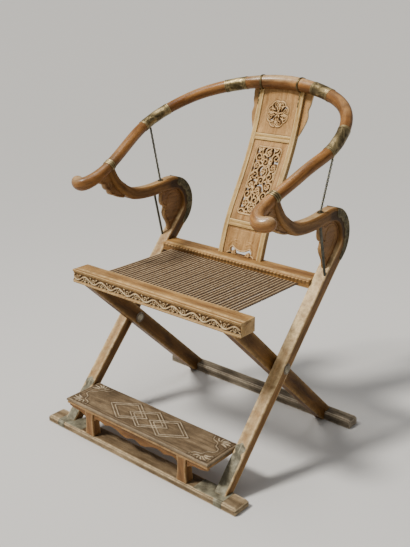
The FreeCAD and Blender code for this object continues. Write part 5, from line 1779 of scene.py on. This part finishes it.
def build_bend_mounts():
    """The sheet metal on the bends: a plate on each face and a strap round the back. The rosettes follow.

    A plate's inner edge is scrolled by a sine, and it carries a line, curls and two rows of nails.
    """
    turns = np.linspace(math.radians(76.0), BACK_TURN, 60)
    outer = on_bend(BEND_OUTER + 1.0, turns)
    down = unit(HEEL - on_bend(BEND_OUTER, BACK_TURN)[0])
    tail = outer[-1] + down * 43.0
    tail_inner = tail + unit(BEND_CENTRE - outer[-1]) * 12.0
    lap = 20.0 + 5.5 * np.abs(np.sin(np.linspace(0, 1, 60) * math.pi * 5)) ** 0.7
    inner = BEND_CENTRE + (on_bend(1.0, turns) - BEND_CENTRE) * (BEND_OUTER - lap)[:, None]
    outline = np.vstack([outer, tail, tail_inner, inner[::-1]])
    nails = []
    for mark in (6, 18, 30, 42, 54):
        for share in (0.30, 0.82):
            nails.append(((inner[mark] * (1 - share) + outer[mark] * share)[None], np.array([2.2])))
    lines = [(inner * 0.86 + outer * 0.14, np.full(60, 1.1))]
    for mark in (12, 24, 36, 48):
        lines.append(scroll((inner[mark] + outer[mark]) * 0.5, 6.0, 1.8, 0.4 * mark, 1.2, 1.1, 40))

    def rise(u, v, depth):
        nailed = dome(within_strokes(u, v, nails), 2.0, 1.5)
        return 1.05 + nailed + dome(within_strokes(u, v, lines), 0.9, 0.7)

    strap = curve_through(np.vstack([outer, tail]), 80)
    slope = unit(np.gradient(strap, axis=0))
    normal = np.stack([-slope[:, 1], slope[:, 0]], 1)
    out = np.where(((strap - BEND_CENTRE) * normal).sum(1)[:, None] > 0, 1, -1) * normal
    section = profile_section([(-19.6, -1.0), (19.6, -1.0), (19.6, 0.35), (-19.6, 0.35)], 0.6)[0]
    for side, sign in LEFT_AND_RIGHT:
        for face, face_x, hand in (("outer", HALF_WIDTH, 1), ("inner", POST_INNER, -1)):
            board(
                side + "_bend_plate_" + face, outline.min(0) - 1, outline.max(0) + 1, 1.1,
                lambda u, v: within_outline(u, v, outline), rise, 0.02,
                lambda u, v, r: np.stack([(face_x + r * hand) * sign, u, v], 1), sheet_metal,
                rubbing_and_shade=lambda u, v: np.clip(within_strokes(u, v, lines + nails), 0, 1),
            )
        swept(
            side + "_bend_strap", in_side_view(strap, sign * POST_MIDDLE),
            ACROSS, in_side_view(out, 0), section,
            sheet_metal, replaced=[side + "_elbow_mount"],
        )
        build_rosette(side, sign)


def finish_plain_metal():
    """Gives another finish to the plain metal solids that show as they are."""
    for finish, nodes in (
        (brass, ("crest_rings", "rod_plates")),
        (boss_iron, ("pivot_washers", "leg_rosettes", "footrest_pintles")),
        (sheet_metal, ("neck_straps",)),
        (iron, ("right_pivot_pin", "left_pivot_pin")),
    ):
        for node in nodes:
            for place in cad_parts[node].material_slots:
                place.material = finish


def build_foot_plates():
    """The sheet metal at the foot of each post.

    A plate on the post's front face ends above in a cloud head with a point. Another lies on the
    runner, from the post to the footrest's foot, with a narrow tongue folded down the runner's front.
    """
    head = curve_through([
        (316.5, 112), (312.6, 118), (315.5, 123), (319.4, 130), (318.6, 138), (312.0, 142), (302.6, 148.5),
        (293.4, 142), (287.6, 138), (286.8, 130), (289.6, 123), (292.6, 118), (288.2, 112),
    ], 60)
    outline = np.vstack([[(287.0, 1.0), (318.6, 1.0), (318.6, 106)], head, [(287.0, 106)]])
    curls = [
        scroll((310.6, 131.5), 5.4, 1.6, -0.6, 0.95, 0.9, 40),
        scroll((295.0, 131.5), 5.4, 1.6, math.pi + 0.6, -0.95, 0.9, 40),
        leaf((302.7, 119.0), (302.7, 145.0), 0.0, 1.5, 30),
    ]

    def rise(u, v, depth):
        rim = 0.45 * bell(depth - 1.8, 0.8)
        return (
            0.75 + rim + dome(within_strokes(u, v, curls), 0.8, 0.6)
            + 0.12 * np.sin(u / 5.0) * np.sin(v / 11.0)
        )

    def rubbing_and_shade(u, v):
        rim = 0.55 * bell(within_outline(u, v, outline) - 1.8, 1.0)
        return np.clip(rim + within_strokes(u, v, curls) + 0.35 * (v < 124) * np.sin(v / 17.0) ** 2, 0, 1)

    top, front = RUNNER_HEIGHT, FRONT_EDGE
    fold = [
        (front - 1.0, 2.5), (front + 1.2, 2.5), (front + 1.2, top - 5),
        (front + 5, top - 1.0), (front + 9, top - 1.0),
        (front + 9, top + 0.8), (front + 3.7, top + 0.8), (front - 1.0, top - 3.8),
    ]
    section, wear_and_light = profile_section(fold, 0.5)
    corners = (228.0, front + 4.6), (330.0, front + 55.4)
    for side, sign in LEFT_AND_RIGHT:

        def on_post(u, v, r):
            return np.stack(
                [sign * u, *[POST_TOE[k] + UP_POST[k] * v - BEHIND_POST[k] * r for k in range(2)]], 1,
            )

        board(
            side + "_post_foot_plate", (286, 0), (320, 149), 1.0,
            lambda u, v: within_outline(u, v, outline), rise,
            -0.5, on_post, shoe_metal, rubbing_and_shade=rubbing_and_shade, replaced=[side + "_post_shoe"],
        )
        board(
            side + "_sill_plate", *corners, 2.0, lambda u, v: within_box(u, v, *corners),
            lambda u, v, depth: top + 0.55 + 0.3 * np.sin(u / 7.0) * np.sin(v / 9.0), top - 1.2,
            lambda u, v, r: np.stack([sign * u, v, r], 1), shoe_metal,
            rubbing_and_shade=lambda u, v: 0.4 * np.sin(u / 13.0 + v / 17.0) ** 2, replaced=[side + "_runner_saddle"],
        )
        swept(
            side + "_sill_tongue", straight((sign * 303.0, 0, 0), (sign * 330.0, 0, 0), 20),
            BACKWARD, UPWARD, section,
            shoe_metal, wear_and_light=wear_and_light * 0.6,
        )


# Making the chair

for side_name, side_sign in LEFT_AND_RIGHT:
    build_post(side_name, side_sign)
build_crest()
build_bands()
build_stiles()
build_top_panel()
build_middle_panel()
build_bottom_panel()
build_wings()
build_clips()
build_spandrels()
build_brackets()
build_rods()
build_front_rail()
build_rear_rail()
build_runners()
build_legs()
build_tread()
build_footrest_frame()
cords = build_cords()
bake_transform(cords)
build_bend_mounts()
finish_plain_metal()
build_foot_plates()


# Floor, light and camera

def build_floor():
    """A large pale floor."""
    finish, _, shader = new_finish("pale floor", "")
    shader.inputs["Base Color"].default_value = colour(0.64, 0.63, 0.61)
    shader.inputs["Roughness"].default_value = 0.7
    mesh = bpy.data.meshes.new("floor")
    mesh.from_pydata([(-400, -400, 0), (400, -400, 0), (400, 400, 0), (-400, 400, 0)], [], [(0, 1, 2, 3)])
    mesh.materials.append(finish)
    floor = linked(bpy.data.objects.new("floor", mesh))
    floor.location = (0, 0, -0.0005)


def add_lamp(name, kind, place, target, strength, tint, **settings):
    """A lamp at a place, turned to a target."""
    lamp = bpy.data.lights.new(name, kind)
    lamp.energy = strength
    lamp.color = tint
    for setting, value in settings.items():
        setattr(lamp, setting, value)
    holder = linked(bpy.data.objects.new(name, lamp))
    holder.location = place
    holder.rotation_euler = (Vector(target) - Vector(place)).to_track_quat("-Z", "Y").to_euler()


def build_studio():
    """A soft far key light that lights the whole floor alike, a softer one overhead, and a pale sky."""
    add_lamp(
        "soft key", "SUN", (-1.24, -1.5, 2.5), (0, 0, 0),
        3.9, (1.0, 0.965, 0.905), angle=math.radians(11.0),
    )
    add_lamp(
        "overhead", "AREA", (-0.3, -0.2, 2.4), (0, 0, 0.5), 22, (1.0, 0.98, 0.95), shape="SQUARE", size=1.0,
    )
    world = bpy.data.worlds.new("studio")
    world.use_nodes = True
    sky = world.node_tree.nodes["Background"]
    sky.inputs["Color"].default_value = colour(0.90, 0.90, 0.90)
    sky.inputs["Strength"].default_value = 0.31
    bpy.context.scene.world = world


CAMERA_AZIMUTH = math.radians(40.548)
CAMERA_PITCH = math.radians(19.573)
CAMERA_PLACE = (1.4309, -1.7080, 1.2781)
FOCAL_LENGTH_IN_PIXELS = 788.03
PICTURE_HEIGHT_IN_PIXELS = 547.0
SENSOR_HEIGHT = 36.0


def build_camera():
    """The camera at the photograph's viewing angle."""
    lens = bpy.data.cameras.new("camera")
    lens.sensor_fit = "VERTICAL"
    lens.sensor_height = SENSOR_HEIGHT
    lens.lens = FOCAL_LENGTH_IN_PIXELS * SENSOR_HEIGHT / PICTURE_HEIGHT_IN_PIXELS
    lens.clip_start = 0.05
    camera = linked(bpy.data.objects.new("camera", lens))
    camera.location = CAMERA_PLACE
    camera.rotation_euler = (math.pi / 2 - CAMERA_PITCH, 0.0, CAMERA_AZIMUTH)
    bpy.context.scene.camera = camera


build_floor()
build_studio()
build_camera()
